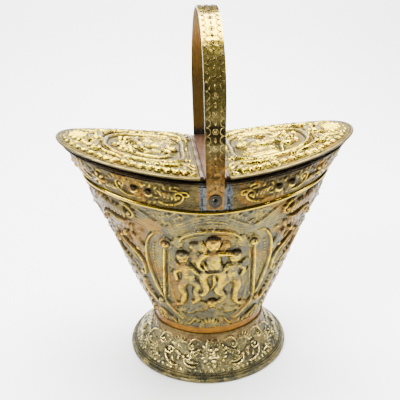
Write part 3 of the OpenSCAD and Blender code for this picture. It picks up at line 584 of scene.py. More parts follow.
def foot_relief(quarter):
    """A quarter of the foot: x from the front's middle, y down the slope from the neck."""
    m = Relief((-20, 0), (quarter + 20, FOOT_TALL))
    # grotesque mask of a lion in front, drawn as a half and folded about x = 0
    for angle in range(-80, 81, 20):
        c, s = unit(angle)
        m.petal((11 * c, 27 - 11 * s), (22 * c, 28 - 21 * s), 6.0, 3.0, 0.25)
    for angle in range(-70, 91, 20):
        c, s = unit(angle)
        m.petal((7 * c, 26 - 9 * s), (15 * c, 27 - 16 * s), 4.6, 4.2, -0.2)
    m.dome((0, 29), [11, 14], 5.0)
    m.dome((4.6, 22.5), [4.6, 3.0], 6.6, -14)
    m.dome((0, 30), [2.6, 8], 7.4)
    m.dome((4.4, 35), [4.8, 4.0], 6.8)
    m.dome((0, 35.5), [3.0, 2.2], 8.0)
    m.dome((0, 41.5), [4.8, 2.8], 5.6)
    m.groove([(2.6, 26.4), (6.8, 26.0)], 2.6, 1.8)
    m.groove([(0, 38.6), (5.0, 39.4)], 1.4, 1.2)
    m.petal((5, 43), (9, 51), 4.6, 3.0)
    m.petal((0, 44), (0, 53), 5.0, 3.2)
    m.petal((0, 14), (0, 4), 6.0, 3.2)
    m.petal((4, 14), (9, 5), 5.0, 2.8, 0.2)
    # scrolls and acanthus away from it
    m.scroll([(20, 46), (30, 52), (42, 48), (46, 38)], (39, 35), 7.0, 0, 1.3, 3.2, 3.2)
    m.acanthus([(22, 44), (33, 46), (44, 43), (53, 34)], 13, 2.8, 6, side=-1)
    m.scroll([(18, 12), (26, 6), (36, 8), (40, 16)], (34.5, 19), 5.4, 0, 1.2, 2.8, 2.8)
    m.petals(5, (24, 30), (2.2, 2.4), (17, 20), (5.4, 1.6), 4.6, 3.0, 0.22)
    m.acanthus([(44, 14), (54, 10), (64, 14), (70, 24)], 14, 2.8, 6)
    m.scroll([(48, 52), (60, 53), (72, 47), (78, 36)], (71, 31), 8.0, 0, 1.4, 3.4, 3.2)
    m.petal((54, 44), (62, 30), 7.0, 3.0, -0.25)
    m.petal((60, 47), (66, 40), 5.0, 2.6)
    m.scroll([(72, 10), (82, 6), (92, 10), (95, 19)], (89, 21), 6.0, 0, 1.2, 3.0, 3.0)
    m.acanthus([(82, 50), (93, 46), (102, 36), (106, 24)], 17, 3.2, 7)
    m.flower((118, 39), 10.5, 7, 3.8)
    m.scroll([(98, 12), (110, 12), (120, 18), (124, 26)], (128, 25), 4.6, 180, -1.1, 3.0, 2.8)
    m.acanthus([(108, 52), (120, 53), (132, 50), (142, 42)], 11, 2.6, 6)
    m.petal((quarter, 50), (quarter, 30), 13, 3.6)
    m.petal((quarter - 4, 46), (quarter - 15, 34), 8, 3.2, -0.2)
    m.shell((quarter, 30), 22, -90, 110, 7, 3.0)
    m.ridge([(-20, 3), (quarter + 20, 3)], 1.5, 0.9, ends=(1, 1))
    for x in np.arange(4, quarter, 7.0):
        m.petal((x, 58.5), (x + 0.5, 53.5), 5.4, 1.3, vein=False)
    m.fill((34, 5), (quarter, 52), 8.5, 1.3, 5)
    return m.finish(up=-1, bite=1.5)


def lid_relief():
    """A lid panel seen from above: x from the scuttle's middle, y from front to back."""
    m = Relief((14, -116), (214, 116))
    far, deep = LID_HALF - LID_MARGIN

    def edge(inset, low=-80, high=80, count=25):
        turn = np.radians(np.linspace(low, high, count))
        return np.stack([(far - inset) * np.cos(turn), (deep - inset) * np.sin(turn)], 1)

    m.ridge(edge(2.6, -84, 84, 41), 1.4, 1.0, ends=(1, 1))
    m.ridge([(24, -100), (24, 100)], 1.8, 1.2, ends=(1, 1))
    # border: leaves in pairs along the rim, bigger in the corners by the hinge
    border = smooth_path(edge(10.5, -79, 79, 41), 1.0)
    for number in range(4, len(border) - 12, 11):
        swell = 1 + 0.35 * math.sin(number * 1.7)
        out = border[number] / (np.hypot(*border[number]) + 1e-9)
        hand = 1 if border[number][1] > 0 else -1
        along = (border[number + 6] - border[number]) * hand
        m.petal(border[number] - out * 1.5, border[number] + along + out * 5.4, 8.4, 4.6 * swell, 0.2 * hand)
        m.petal(border[number] - out * 1.5, border[number] + along - out * 7.0, 8.2, 4.2 * swell, -0.2 * hand)
        m.dome(border[number], 2.6, 4.4 * swell)
    # half of the frame round the middle field, folded over afterwards
    m.ridge([(36, 0), (35, 30), (40, 50), (56, 63), (84, 64), (112, 56), (132, 40), (143, 20), (145, 0)],
            [6, 6, 8, 9, 9, 8.5, 7.5, 6.6, 6], 3.6, ends=(1, 1))
    m.ridge([(42, 0), (41, 30), (46, 45), (59, 56), (84, 57), (109, 50), (127, 36), (137, 18), (138.5, 0)],
            2.0, 1.1, ends=(1, 1))
    m.scroll([(34, 58), (44, 74), (60, 80)], (62, 72), 7.5, 100, -1.1, 5.0, 4.8)
    m.scroll([(116, 62), (130, 60), (143, 50), (148, 38)], (155, 41), 7.5, 180, -1.2, 5.0, 5.0)
    m.scroll([(88, 80), (101, 82), (113, 76)], (109, 68), 6.5, 60, -1.1, 4.6, 4.6)
    m.acanthus([(28, 56), (31, 74), (41, 88), (58, 93)], 24, 4.4, 5)
    m.acanthus([(66, 84), (80, 88), (94, 84), (106, 80)], 17, 4.2, 5)
    m.acanthus([(116, 80), (128, 76), (140, 66), (150, 54)], 19, 4.4, 5)
    m.acanthus([(160, 48), (170, 42), (178, 31), (182, 20)], 16, 4.2, 4)
    m.flower((78, 76), 9.5, 6, 5.0)
    m.flower((31, 42), 7.0, 5, 3.8)
    m.flower((30, 88), 6.0, 5, 3.4)
    m.petals(5, (29, 6), (0, 7), (35, 12), (0, 7.5), 5.0, 2.8, 0.2)
    # shell at the tip, with scrolls beside it
    m.shell((159, 0), 36, 0, 130, 9, 5.0)
    m.dome((157, 0), 7.5, 6.4)
    m.ring((157, 0), 10.0, 3.2, 4.4)
    m.scroll([(190, 22), (184, 34), (172, 34)], (170, 26), 6.2, 90, 1.1, 4.2, 4.6)
    m.petals(5, (150, 8), (0, 5), (163, 15), (2, 6), 6.4, 4.2, 0.2)
    m.fill((22, 0), (205, 112), 13.0, 3.4, 6, lambda at: (at[0] / far) ** 2 + (at[1] / deep) ** 2 < 0.86
           and ((at[0] - 90) / 50) ** 2 + (at[1] / 60) ** 2 > 1)
    m.mirror(0)
    # middle field: a cherub lying under a tree, with hills, clouds and garlands
    for number in range(6):
        hill = [(46, -50 + 5 * number), (62, -54 + 6 * number),
                (84, -50 + 5 * number), (98, -52 + 4.4 * number)]
        m.ridge(hill, [2.6, 5, 5, 2.6], 2.8)
    folds(m, [(58, 18), (64, 34), (66, 48)], 4.0, 3.0, 4, 16)
    m.ridge([(100, -46), (104, -26), (112, -8), (118, 8)], [7, 6, 5, 3], 4.4)
    m.ridge([(106, -20), (98, -6), (98, 4)], [4.4, 3.6, 2.4], 3.8)
    rng = np.random.default_rng(7)
    for x, y in ((118, 12), (108, 16), (98, 10), (124, 0), (126, -14), (112, 26), (104, 28), (120, 24),
                 (128, 14)):
        for _ in range(5):
            off = rng.normal(0, 3.8, 2)
            m.dome((x + off[0], y + off[1]), [rng.uniform(3.4, 5.4), rng.uniform(1.8, 2.8)],
                   rng.uniform(3.2, 5.2), rng.uniform(-30, 30))
    for x, y, big in ((56, -34, 9), (70, -42, 8), (86, -40, 7), (62, -20, 6)):
        m.dome((x, y), [big * 1.5, big * 0.7], 3.4, 12, melt=1)
    cherub(m, (54, 4), 7.8, 70, (66, 2), (78, -2),
           [[(66, 8), (62, 20), (54, 26)], [(66, -5), (74, -12), (84, -14)]],
           [[(84, 2), (94, 12), (90, 24), (82, 34), (88, 40)],
            [(84, -6), (98, -4), (104, -16), (112, -26), (118, -24)]], 5.0,
           [((66, 6), (76, 26)), ((62, -6), (54, -20))])
    m.ridge([(50, 30), (62, 46), (80, 50), (98, 44), (108, 34)], [3, 6, 7.5, 6, 3], 3.8)
    m.beads([(52, 24), (64, 39), (80, 43), (96, 38), (105, 30)], 5.0, 1.7, 2.2)
    m.finish(up=0.4, bite=2.0)
    # the plain margin is duller
    x, y = m.places()
    m.wear -= 0.18 * np.clip(((x / far) ** 2 + (y / deep) ** 2 - 0.955) / 0.02, 0, 1)
    return m


# ================= the plain surfaces that carry the work =================
def saddle(x, rise):
    """How far the rim and the bead rise towards the two ends."""
    return rise * (np.abs(x) / RIM_HALF[0]) ** RIM_POWER


def lid_saddle(x):
    """How far the lids rise from their hinges towards the two ends."""
    return LID_RISE * (np.maximum(0, np.abs(x) - HINGE_OUT) / (LID_HALF[0] - HINGE_OUT)) ** LID_SADDLE_POWER


def along_ring(half, share):
    """Angles from the middle of the front that share out a quarter oval by length, and the lengths."""
    turn = np.linspace(0, math.pi / 2, 181)
    step = np.hypot(half[0] * np.cos(turn), half[1] * np.sin(turn))
    length = np.concatenate([[0], ((step[1:] + step[:-1]) / 2 * np.diff(turn)).cumsum()])
    return np.sign(share) * np.interp(np.abs(share) * length[-1], length, turn), length[-1] * share


def banded(rows, cols, half_at, height_at):
    """Half a ring of sheet, from one end round the front to the other: points, and x and share up it."""
    shares, ups = np.linspace(-1, 1, cols), np.linspace(0, 1, rows)
    points, along = np.zeros((rows, cols, 3)), np.zeros((rows, cols))
    for row, up in enumerate(ups):
        half = half_at(up)
        turn, along[row] = along_ring(half, shares)
        x = half[0] * np.sin(turn)
        points[row] = np.stack([x, -half[1] * np.cos(turn), height_at(up, x)], 1)
    return points, along, np.repeat(ups[:, None], cols, 1)


def tub_surface(rows, cols):
    """The outside of half the tub, from the neck up to the bead."""
    return banded(rows, cols, lambda v: TUB_LOW_HALF + (TUB_TOP_HALF - TUB_LOW_HALF) * v ** 1.07,
                  lambda v, x: TUB_LOW + (BEAD_LOW - TUB_LOW) * v + v * saddle(x, BEAD_RISE))


def collar_half(v):
    """Half the collar's width and depth at a share of the way from the bead to the rope wire."""
    return COLLAR_LOW_HALF + (RIM_HALF - COLLAR_LOW_HALF) * v


def collar_height(v, x):
    """Height of the collar at such a share."""
    low = COLLAR_LOW + saddle(x, BEAD_RISE)
    return low + (RIM_LOW + saddle(x, RIM_RISE) - low) * v


def collar_surface(rows, cols):
    """The outside of half the collar, from the bead up past the rope wire."""
    top = 1 + 1.6 / (RIM_LOW - COLLAR_LOW)
    return banded(rows, cols, lambda v: collar_half(v * top), lambda v, x: collar_height(v * top, x))


def lid_corner(far, deep):
    """How far from the middle line a lid's outline meets the lid's straight edge by the hinge."""
    return deep * (1 - (LID_START / far) ** LID_POWER) ** (1 / LID_POWER)


def lid_surface(rows, cols, side):
    """The middle of a lid's sheet; rows run along y and columns from the hinge to the rim."""
    (far, deep), power = LID_HALF - LID_MARGIN, LID_POWER
    turn = np.linspace(-1, 1, rows)
    y = lid_corner(far, deep) * (0.6 * np.sin(turn * math.pi / 2) + 0.4 * turn)
    reach = far * np.maximum(0, 1 - (np.abs(y) / deep) ** power) ** (1 / power)
    out = LID_START + np.maximum(reach - LID_START, 0.4)[:, None] * np.linspace(0, 1, cols)
    y = np.repeat(y[:, None], cols, 1)
    u = np.minimum(1, (out / LID_HALF[0]) ** 2 + (y / LID_HALF[1]) ** 2)
    near = np.clip((out - LID_START) / 40, 0, 1)
    z = HINGE_HIGH + lid_saddle(out) + LID_DOME * (1 - u) * near + WALL / 2
    return np.stack([side * out, y, z], 2), out, y


# the foot: a profile, as distance outside the neck's oval and height, swept round four tangent arcs
ARC_SHIFT = (NECK_HALF[0] - NECK_HALF[1]) / (2 - math.sqrt(2))
END_RADIUS, SIDE_RADIUS = NECK_HALF[0] - ARC_SHIFT, NECK_HALF[1] + ARC_SHIFT
ROLL, ROLL_FLAT = 3.3, 0.3
COVE_ROWS = 56
STEP_ROW = 2 + COVE_ROWS        # first row of the two plain steps
INSIDE_ROW = STEP_ROW + 9 + 17  # first row on the inner side of the roll
ROLL_CENTRE = FOOT_HALF[0] - NECK_HALF[0] - ROLL
FOOT_QUARTER = math.pi / 4 * (END_RADIUS + SIDE_RADIUS + 2 * FOOT_MIDDLE)


def foot_profile():
    """Rows of the foot: distance out, height, and place down the slope, or -1 where nothing is stamped."""
    share = np.linspace(0, 1, COVE_ROWS) ** 0.9
    head, foot, reach = FOOT_HIGH - 2.6, 2 * ROLL + 5, ROLL_CENTRE - 6.5
    cove = np.stack([0.8 + (reach - 0.8) * share ** 1.6, head + (foot - head) * share], 1)
    slope = np.concatenate([[0], np.hypot(*np.diff(cove, axis=0).T).cumsum()])
    outer = [(-0.4, FOOT_HIGH, -1), (-0.4, head, -1)]
    outer += [(d, z, FOOT_TALL * s / slope[-1]) for (d, z), s in zip(cove, slope)]
    # two plain steps, then the roll
    for d, z in ((0.6, -0.1), (1.1, 0.5), (1.8, 0.6), (2.4, 0.1), (2.7, -0.9), (3.0, -1.5), (3.6, -1.3),
                 (4.2, -1.5), (4.6, -2.3)):
        outer.append((reach + d, foot + z, -1))
    centre = ROLL - ROLL_FLAT
    flat = math.degrees(math.asin(centre / ROLL))

    def on_roll(radius, turn):
        c, s = unit(turn)
        return ROLL_CENTRE + radius * c, centre + radius * s, -1

    outer += [on_roll(ROLL, turn) for turn in (*np.linspace(104, -flat, 15), flat - 180, -176, -190)]
    outer += [on_roll(ROLL - WALL, turn) for turn in np.linspace(-190, 120, 9)]
    outer.append((ROLL_CENTRE - 3.4, foot - 4.0, -1))
    outer.append((ROLL_CENTRE - 4.8, foot - 2.2, -1))
    for s in np.linspace(1, 0.3, 12):
        outer.append((0.8 + (reach - 0.8) * s ** 1.6 - WALL, head + (foot - head) * s - WALL * s, -1))
    outer += [(-1.6, head - 2.4, -1), (-1.6, FOOT_HIGH, -1)]
    return np.array(outer)


def oval_places(share, out):
    """Places in x and y at shares of the way round from the front, a distance outside the neck's oval."""
    quarter, hand = np.abs(share), np.sign(share)
    fold = np.where(quarter > 1, 2 - quarter, quarter)
    side, end = SIDE_RADIUS + FOOT_MIDDLE, END_RADIUS + FOOT_MIDDLE
    length = fold * math.pi / 4 * (side + end)
    bend = math.pi / 4 * side
    turn = np.where(length < bend, length / side, math.pi / 4 + (length - bend) / end)
    on_side = turn < math.pi / 4
    radius = np.where(on_side, SIDE_RADIUS, END_RADIUS) + out
    x = np.where(on_side, 0, ARC_SHIFT) + radius * np.sin(turn)
    y = np.where(on_side, -ARC_SHIFT, 0) + radius * np.cos(turn)
    return hand * x, np.where(quarter > 1, y, -y), fold * FOOT_QUARTER


def normals(points, wrap=(False, False)):
    """Unit normals of a grid of points, to the right of its rows seen along its columns."""
    def slope(axis):
        if wrap[axis]:
            return np.roll(points, -1, axis) - np.roll(points, 1, axis)
        return np.gradient(points, axis=axis)
    across = np.cross(slope(1), slope(0))
    return across / np.maximum(1e-9, np.linalg.norm(across, axis=2, keepdims=True))


# ================= meshes =================
def mark(mesh, marks):
    """Writes numbers on a mesh's points, under their names."""
    for label, values in marks.items():
        layer = mesh.attributes.new(label, "FLOAT", "POINT")
        layer.data.foreach_set("value", np.asarray(values, np.float32).ravel())


def make_piece(name, points, faces, body, finish, replaces=(), marks=None, crease=50):
    """A finished piece at the origin, from points in millimetres."""
    mesh = bpy.data.meshes.new(name)
    mesh.from_pydata((np.asarray(points).reshape(-1, 3) * MM).tolist(), [], faces)
    mark(mesh, marks or {})
    mesh.materials.append(finish)
    mesh.validate()
    mesh.shade_smooth()
    mesh.set_sharp_from_angle(angle=math.radians(crease))
    piece = bpy.data.objects.new(name, mesh)
    bpy.context.scene.collection.objects.link(piece)
    return settle(piece, body, replaces)


def settle(piece, body, replaces=()):
    """Gives a piece its body and hides the nodes that it stands in for."""
    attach(piece, body)
    if replaces:
        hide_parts(*replaces)
    return piece


def grid_faces(rows, cols, first=0, wrap=(False, False)):
    """Quads of a grid, counter-clockwise seen from where its columns run right and its rows run up."""
    r, c = np.meshgrid(np.arange(rows if wrap[0] else rows - 1),
                       np.arange(cols if wrap[1] else cols - 1), indexing="ij")
    up, right = (r + 1) % rows, (c + 1) % cols
    corners_of = np.stack([r * cols + c, r * cols + right, up * cols + right, up * cols + c], -1)
    return (first + corners_of).reshape(-1, 4).tolist()


def sheet_mesh(outer, inner, ratio):
    """Points and faces of a closed sheet: a fine outer grid, and an inner one with every ratio-th point."""
    rows, cols = outer.shape[:2]
    few, fewer = inner.shape[:2]
    base = rows * cols
    faces = grid_faces(rows, cols) + [face[::-1] for face in grid_faces(few, fewer, base)]
    for row, inside, turn in ((0, 0, 1), (rows - 1, few - 1, -1)):
        for c in range(fewer - 1):
            edge = [row * cols + c * ratio + k for k in range(ratio, -1, -1)]
            face = edge + [base + inside * fewer + c, base + inside * fewer + c + 1]
            faces.append(face[::turn])
    for col, inside, turn in ((0, 0, -1), (cols - 1, fewer - 1, 1)):
        for r in range(few - 1):
            edge = [(r * ratio + k) * cols + col for k in range(ratio, -1, -1)]
            face = edge + [base + r * fewer + inside, base + (r + 1) * fewer + inside]
            faces.append(face[::turn])
    return np.concatenate([outer.reshape(-1, 3), inner.reshape(-1, 3)]), faces


def emboss(name, surface, relief, gain, shift, body, finish, replaces, fade, turned=False, flip=False):
    """A stamped sheet: the plain surface, pushed out by its relief, with the dents showing inside."""
    points, x, y = surface
    height = np.clip(relief.read(relief.h, x + shift, y), -0.6, None) * gain * fade
    wear = 0.5 + (relief.read(relief.wear, x + shift, y) - 0.5) * fade
    out = normals(points) * (-1 if flip else 1)
    few = (slice(None, None, COARSER),) * 2
    softened = (relief.read(blur(relief.h, 5.0), x + shift, y) * gain * fade)[few]
    outer = points + out * height[..., None]
    inner = (points - out * WALL)[few] + out[few] * (np.maximum(0, softened - 0.1) * 0.8)[..., None]
    if turned:
        outer, inner = outer * [-1, -1, 1], inner * [-1, -1, 1]
    all_points, faces = sheet_mesh(outer, inner, COARSER)
    if flip:
        faces = [face[::-1] for face in faces]
    plain = np.zeros(inner.shape[:2])
    marks = {"relief": np.concatenate([(height / 5).ravel(), plain.ravel()]),
             "wear": np.concatenate([wear.ravel(), plain.ravel() + 0.34])}
    return make_piece(name, all_points, faces, body, finish, replaces, marks, crease=65)


def ring_piece(name, profile_at, body, finish, replaces):
    """A closed band: profile_at gives the points of its section at an angle from the front."""
    count = 360
    rings = np.array([profile_at(turn) for turn in np.linspace(-math.pi, math.pi, count, endpoint=False)])
    points = rings.transpose(1, 0, 2)
    faces = grid_faces(points.shape[0], points.shape[1], wrap=(True, True))
    return make_piece(name, points, faces, body, finish, replaces, crease=40)


# ================= what repeats or follows a path, in Geometry Nodes =================
def add_node(tree, kind, settings=None, sockets=None):
    """A node with its settings, then its sockets' values or links."""
    made = tree.nodes.new(kind)
    for key, value in (settings or {}).items():
        setattr(made, key, value)
    for key, value in (sockets or {}).items():
        for item in value if isinstance(value, list) else [value]:
            item = item.socket if isinstance(item, Value) else item
            if isinstance(item, bpy.types.NodeSocket):
                tree.links.new(item, made.inputs[key])
            else:
                made.inputs[key].default_value = item
    return made


class Tree:
    """A geometry tree with named inputs, built node by node."""

    def __init__(self, name, inputs):
        self.tree = bpy.data.node_groups.new(name, "GeometryNodeTree")
        self.tree.is_modifier = True
        self.tree.interface.new_socket("Geometry", in_out="INPUT", socket_type="NodeSocketGeometry")
        self.names = {}
        for label, kind in inputs.items():
            made = self.tree.interface.new_socket(label, in_out="INPUT", socket_type="NodeSocket" + kind)
            self.names[label] = made.identifier
        self.tree.interface.new_socket("Geometry", in_out="OUTPUT", socket_type="NodeSocketGeometry")
        self.start = self.tree.nodes.new("NodeGroupInput")

    def __getitem__(self, label):
        return self.start.outputs[label]

    def node(self, kind, settings=None, sockets=None):
        return add_node(self.tree, kind, settings, sockets).outputs[0]

    def math(self, operation, first, second):
        return self.node("ShaderNodeMath", {"operation": operation}, {0: first, 1: second})

    def line(self):
        """The path that the tree runs on."""
        return self.node("GeometryNodeMeshToCurve", sockets={"Mesh": self["Geometry"]})

    def circle(self, radius, sides):
        return self.node("GeometryNodeCurvePrimitiveCircle", sockets={"Radius": radius, "Resolution": sides})

    def sweep(self, line, section, caps=True):
        """A section drawn along a line."""
        return self.node("GeometryNodeCurveToMesh",
                         sockets={"Curve": line, "Profile Curve": section, "Fill Caps": caps})

    def place(self, points, shape, turn, **more):
        """A shape at every point."""
        return self.node("GeometryNodeInstanceOnPoints",
                         sockets={"Points": points, "Instance": shape, "Rotation": turn, **more})

    def end(self, geometry, finish):
        """Realizes the instances, smooths them and gives them their finish."""
        smooth = self.node("GeometryNodeSetShadeSmooth", sockets={"Geometry": geometry})
        solid = self.node("GeometryNodeRealizeInstances", sockets={0: smooth})
        done = self.node("GeometryNodeSetMaterial", sockets={"Geometry": solid, "Material": finish})
        last = self.tree.nodes.new("NodeGroupOutput")
        self.tree.links.new(done, last.inputs[0])
        return self

    def run(self, name, paths, values, body, slot, replaces=()):
        """Runs the tree on lines through points in millimetres and returns the finished piece."""
        points, edges, marks = [], [], {}
        for path in paths:
            base, count = len(points), len(path["points"])
            points += (np.asarray(path["points"]) * MM).tolist()
            edges += [(base + k, base + k + 1) for k in range(count - 1)]
            if path.get("closed"):
                edges.append((base + count - 1, base))
            for label, numbers in path.get("marks", {}).items():
                marks.setdefault(label, []).extend(numbers)
        mesh = bpy.data.meshes.new(name + "_path")
        mesh.from_pydata(points, edges, [])
        mark(mesh, marks)
        guide = bpy.data.objects.new(name + "_path", mesh)
        bpy.context.scene.collection.objects.link(guide)
        modifier = guide.modifiers.new("build", "NODES")
        modifier.node_group = self.tree
        for label, value in values.items():
            modifier[self.names[label]] = value
        view = bpy.context.evaluated_depsgraph_get()
        made = bpy.data.meshes.new_from_object(guide.evaluated_get(view))
        guide.modifiers.clear()
        bpy.data.objects.remove(guide)
        made.name = name
        piece = bpy.data.objects.new(name, made)
        bpy.context.scene.collection.objects.link(piece)
        return settle(piece, body, replaces)


def wire_tree(finish):
    """A round wire along a line, with closed ends."""
    t = Tree("Wire along a path", {"Radius": "Float", "Sides": "Int"})
    return t.end(t.sweep(t.line(), t.circle(t["Radius"], t["Sides"])), finish)


def rope_tree(finish):
    """A wire milled with slanting strands, like a rope."""
    t = Tree("Rope wire", {"Radius": "Float", "Pitch": "Float", "Lean": "Float"})
    line = t.line()
    core = t.sweep(line, t.circle(t.math("MULTIPLY", t["Radius"], 0.72), 8))
    places = t.node("GeometryNodeResampleCurve", {"mode": "LENGTH"}, {"Curve": line, "Length": t["Pitch"]})
    ball = t.node("GeometryNodeMeshUVSphere", sockets={"Segments": 8, "Rings": 6, "Radius": t["Radius"]})
    strand = t.node("GeometryNodeTransform", sockets={"Geometry": ball, "Scale": (0.52, 1.0, 1.08)})
    facing = t.node("FunctionNodeAlignRotationToVector", {"axis": "X"},
                    {"Vector": t.node("GeometryNodeInputTangent")})
    lean = t.node("ShaderNodeCombineXYZ", sockets={"Y": t["Lean"]})
    leaned = t.node("FunctionNodeRotateRotation", {"rotation_space": "LOCAL"},
                    {"Rotation": facing, "Rotate By": lean})
    strands = t.place(places, strand, leaned)
    return t.end(t.node("GeometryNodeJoinGeometry", sockets={"Geometry": [core, strands]}), finish)


def strap_tree(finish):
    """Stamped studs, pointed ovals and edge scallops along the middle of a strap."""
    t = Tree("Strap ornament", {"Pitch": "Float", "Scallop": "Float", "Stud": "Float", "Bead": "Float"})
    places = t.node("GeometryNodeResampleCurve", {"mode": "LENGTH"}, {"Curve": t.line(), "Length": t["Pitch"]})
    outward = t.node("ShaderNodeVectorMath", {"operation": "CROSS_PRODUCT"},
                     {0: (1, 0, 0), 1: t.node("GeometryNodeInputTangent")})
    facing = t.node("FunctionNodeAlignRotationToVector", {"axis": "Z"}, {"Vector": outward})
    facing = t.node("FunctionNodeAlignRotationToVector", {"axis": "X", "pivot_axis": "Z"},
                    {"Rotation": facing, "Vector": (1, 0, 0)})
    cord = t.circle(t["Bead"], 6)
    parts = []
    for hand in (-1, 1):
        arc = t.node("GeometryNodeCurveArc", {"mode": "RADIUS"},
                     {"Resolution": 11, "Radius": t["Scallop"], "Start Angle": math.pi / 2 * hand,
                      "Sweep Angle": math.pi})
        half = t.node("GeometryNodeInputNamedAttribute", {"data_type": "FLOAT"}, {"Name": "half"})
        aside = t.node("ShaderNodeCombineXYZ", sockets={"X": t.math("MULTIPLY", half, hand)})
        edge = t.node("GeometryNodeSetPosition", sockets={"Geometry": places, "Offset": aside})
        parts.append(t.place(edge, t.sweep(arc, cord), facing))
    ball = t.node("GeometryNodeMeshUVSphere", sockets={"Segments": 12, "Rings": 7, "Radius": t["Stud"]})
    low = t.node("GeometryNodeTransform", sockets={"Geometry": ball, "Scale": (1, 1, 0.55)})
    band = t.sweep(t.circle(t.math("MULTIPLY", t["Stud"], 1.9), 6), cord, False)
    stud = t.node("GeometryNodeJoinGeometry", sockets={"Geometry": [low, band]})
    oval = t.node("GeometryNodeTransform", sockets={"Geometry": ball, "Scale": (0.72, 1.75, 0.5)})
    odd = t.math("MODULO", t.node("GeometryNodeInputIndex"), 2.0)
    for shape, chosen in ((stud, odd), (oval, t.math("SUBTRACT", 1.0, odd))):
        parts.append(t.place(places, shape, facing, Selection=chosen))
    return t.end(t.node("GeometryNodeJoinGeometry", sockets={"Geometry": parts}), finish)


# ================= finishes =================
class Value:
    """A shader socket, so that shader maths reads as Python expressions."""

    def __init__(self, finish, socket):
        self.finish, self.socket = finish, socket

    def __add__(self, other):
        return self.finish.math("ADD", self, other)

    def __radd__(self, other):
        return self.finish.math("ADD", other, self)

    def __sub__(self, other):
        return self.finish.math("SUBTRACT", self, other)

    def __rsub__(self, other):
        return self.finish.math("SUBTRACT", other, self)

    def __mul__(self, other):
        return self.finish.math("MULTIPLY", self, other)

    def __rmul__(self, other):
        return self.finish.math("MULTIPLY", other, self)

    def __truediv__(self, other):
        return self.finish.math("DIVIDE", self, other)

    def __pow__(self, other):
        return self.finish.math("POWER", self, other)

    def size(self):
        return self.finish.math("ABSOLUTE", self, 0.0)

    def step(self, low, high):
        """0 below low and 1 above high, with a soft step between; the other way round if low is higher."""
        if low > high:
            return 1 - self.step(high, low)
        return self.finish.node("ShaderNodeMapRange", {"interpolation_type": "SMOOTHSTEP"},
                                {"Value": self, "From Min": low, "From Max": high}, "Result")


class Finish:
    """A material whose nodes are written as expressions."""

    def __init__(self, name):
        self.material = bpy.data.materials.new(name)
        self.material.use_nodes = True
        self.tree = self.material.node_tree
        self.tree.nodes.clear()
        self.place = self.node("ShaderNodeTexCoord", output="Object")

    def node(self, kind, settings=None, sockets=None, output=0):
        made = add_node(self.tree, kind, settings, sockets)
        return Value(self, made.outputs[output]) if len(made.outputs) else made

    def math(self, operation, first, second):
        return self.node("ShaderNodeMath", {"operation": operation}, {0: first, 1: second})

    def attribute(self, name):
        return self.node("ShaderNodeAttribute", {"attribute_name": name}, output="Fac")

    def noise(self, scale, detail=3.0, stretch=None, seed=0.0):
        """Cloudy numbers between 0 and 1; scale is in clouds a metre."""
        where = self.place
        if stretch or seed:
            where = self.node("ShaderNodeMapping", sockets={"Vector": where, "Scale": stretch or (1, 1, 1),
                                                            "Location": (seed, seed * 0.7, -seed)})
        return self.node("ShaderNodeTexNoise", None, {"Vector": where, "Scale": scale, "Detail": detail}, "Fac")

    def axis(self, name):
        return self.node("ShaderNodeSeparateXYZ", sockets={0: self.place}, output=name)

    def aside(self):
        """Distance to the left or right of the middle."""
        return self.axis("X").size()

    def mix(self, share, first, second):
        """The first colour at a share of 0 and the second at 1."""
        def colour(item):
            return item if isinstance(item, Value) else (*item, 1)
        return self.node("ShaderNodeMix", {"data_type": "RGBA"},
                         {0: share, 6: colour(first), 7: colour(second)}, 2)

    def bump(self, height, distance, strength=1.0, under=None):
        sockets = {"Height": height, "Distance": distance, "Strength": strength}
        if under:
            sockets["Normal"] = under
        return self.node("ShaderNodeBump", sockets=sockets)

    def metal(self, colour, roughness, normal=None, metallic=1.0):
        sockets = {"Base Color": colour if isinstance(colour, Value) else (*colour, 1),
                   "Roughness": roughness, "Metallic": metallic}
        if normal:
            sockets["Normal"] = normal
        shader = self.node("ShaderNodeBsdfPrincipled", sockets=sockets)
        self.node("ShaderNodeOutputMaterial", sockets={"Surface": shader})
        return self.material


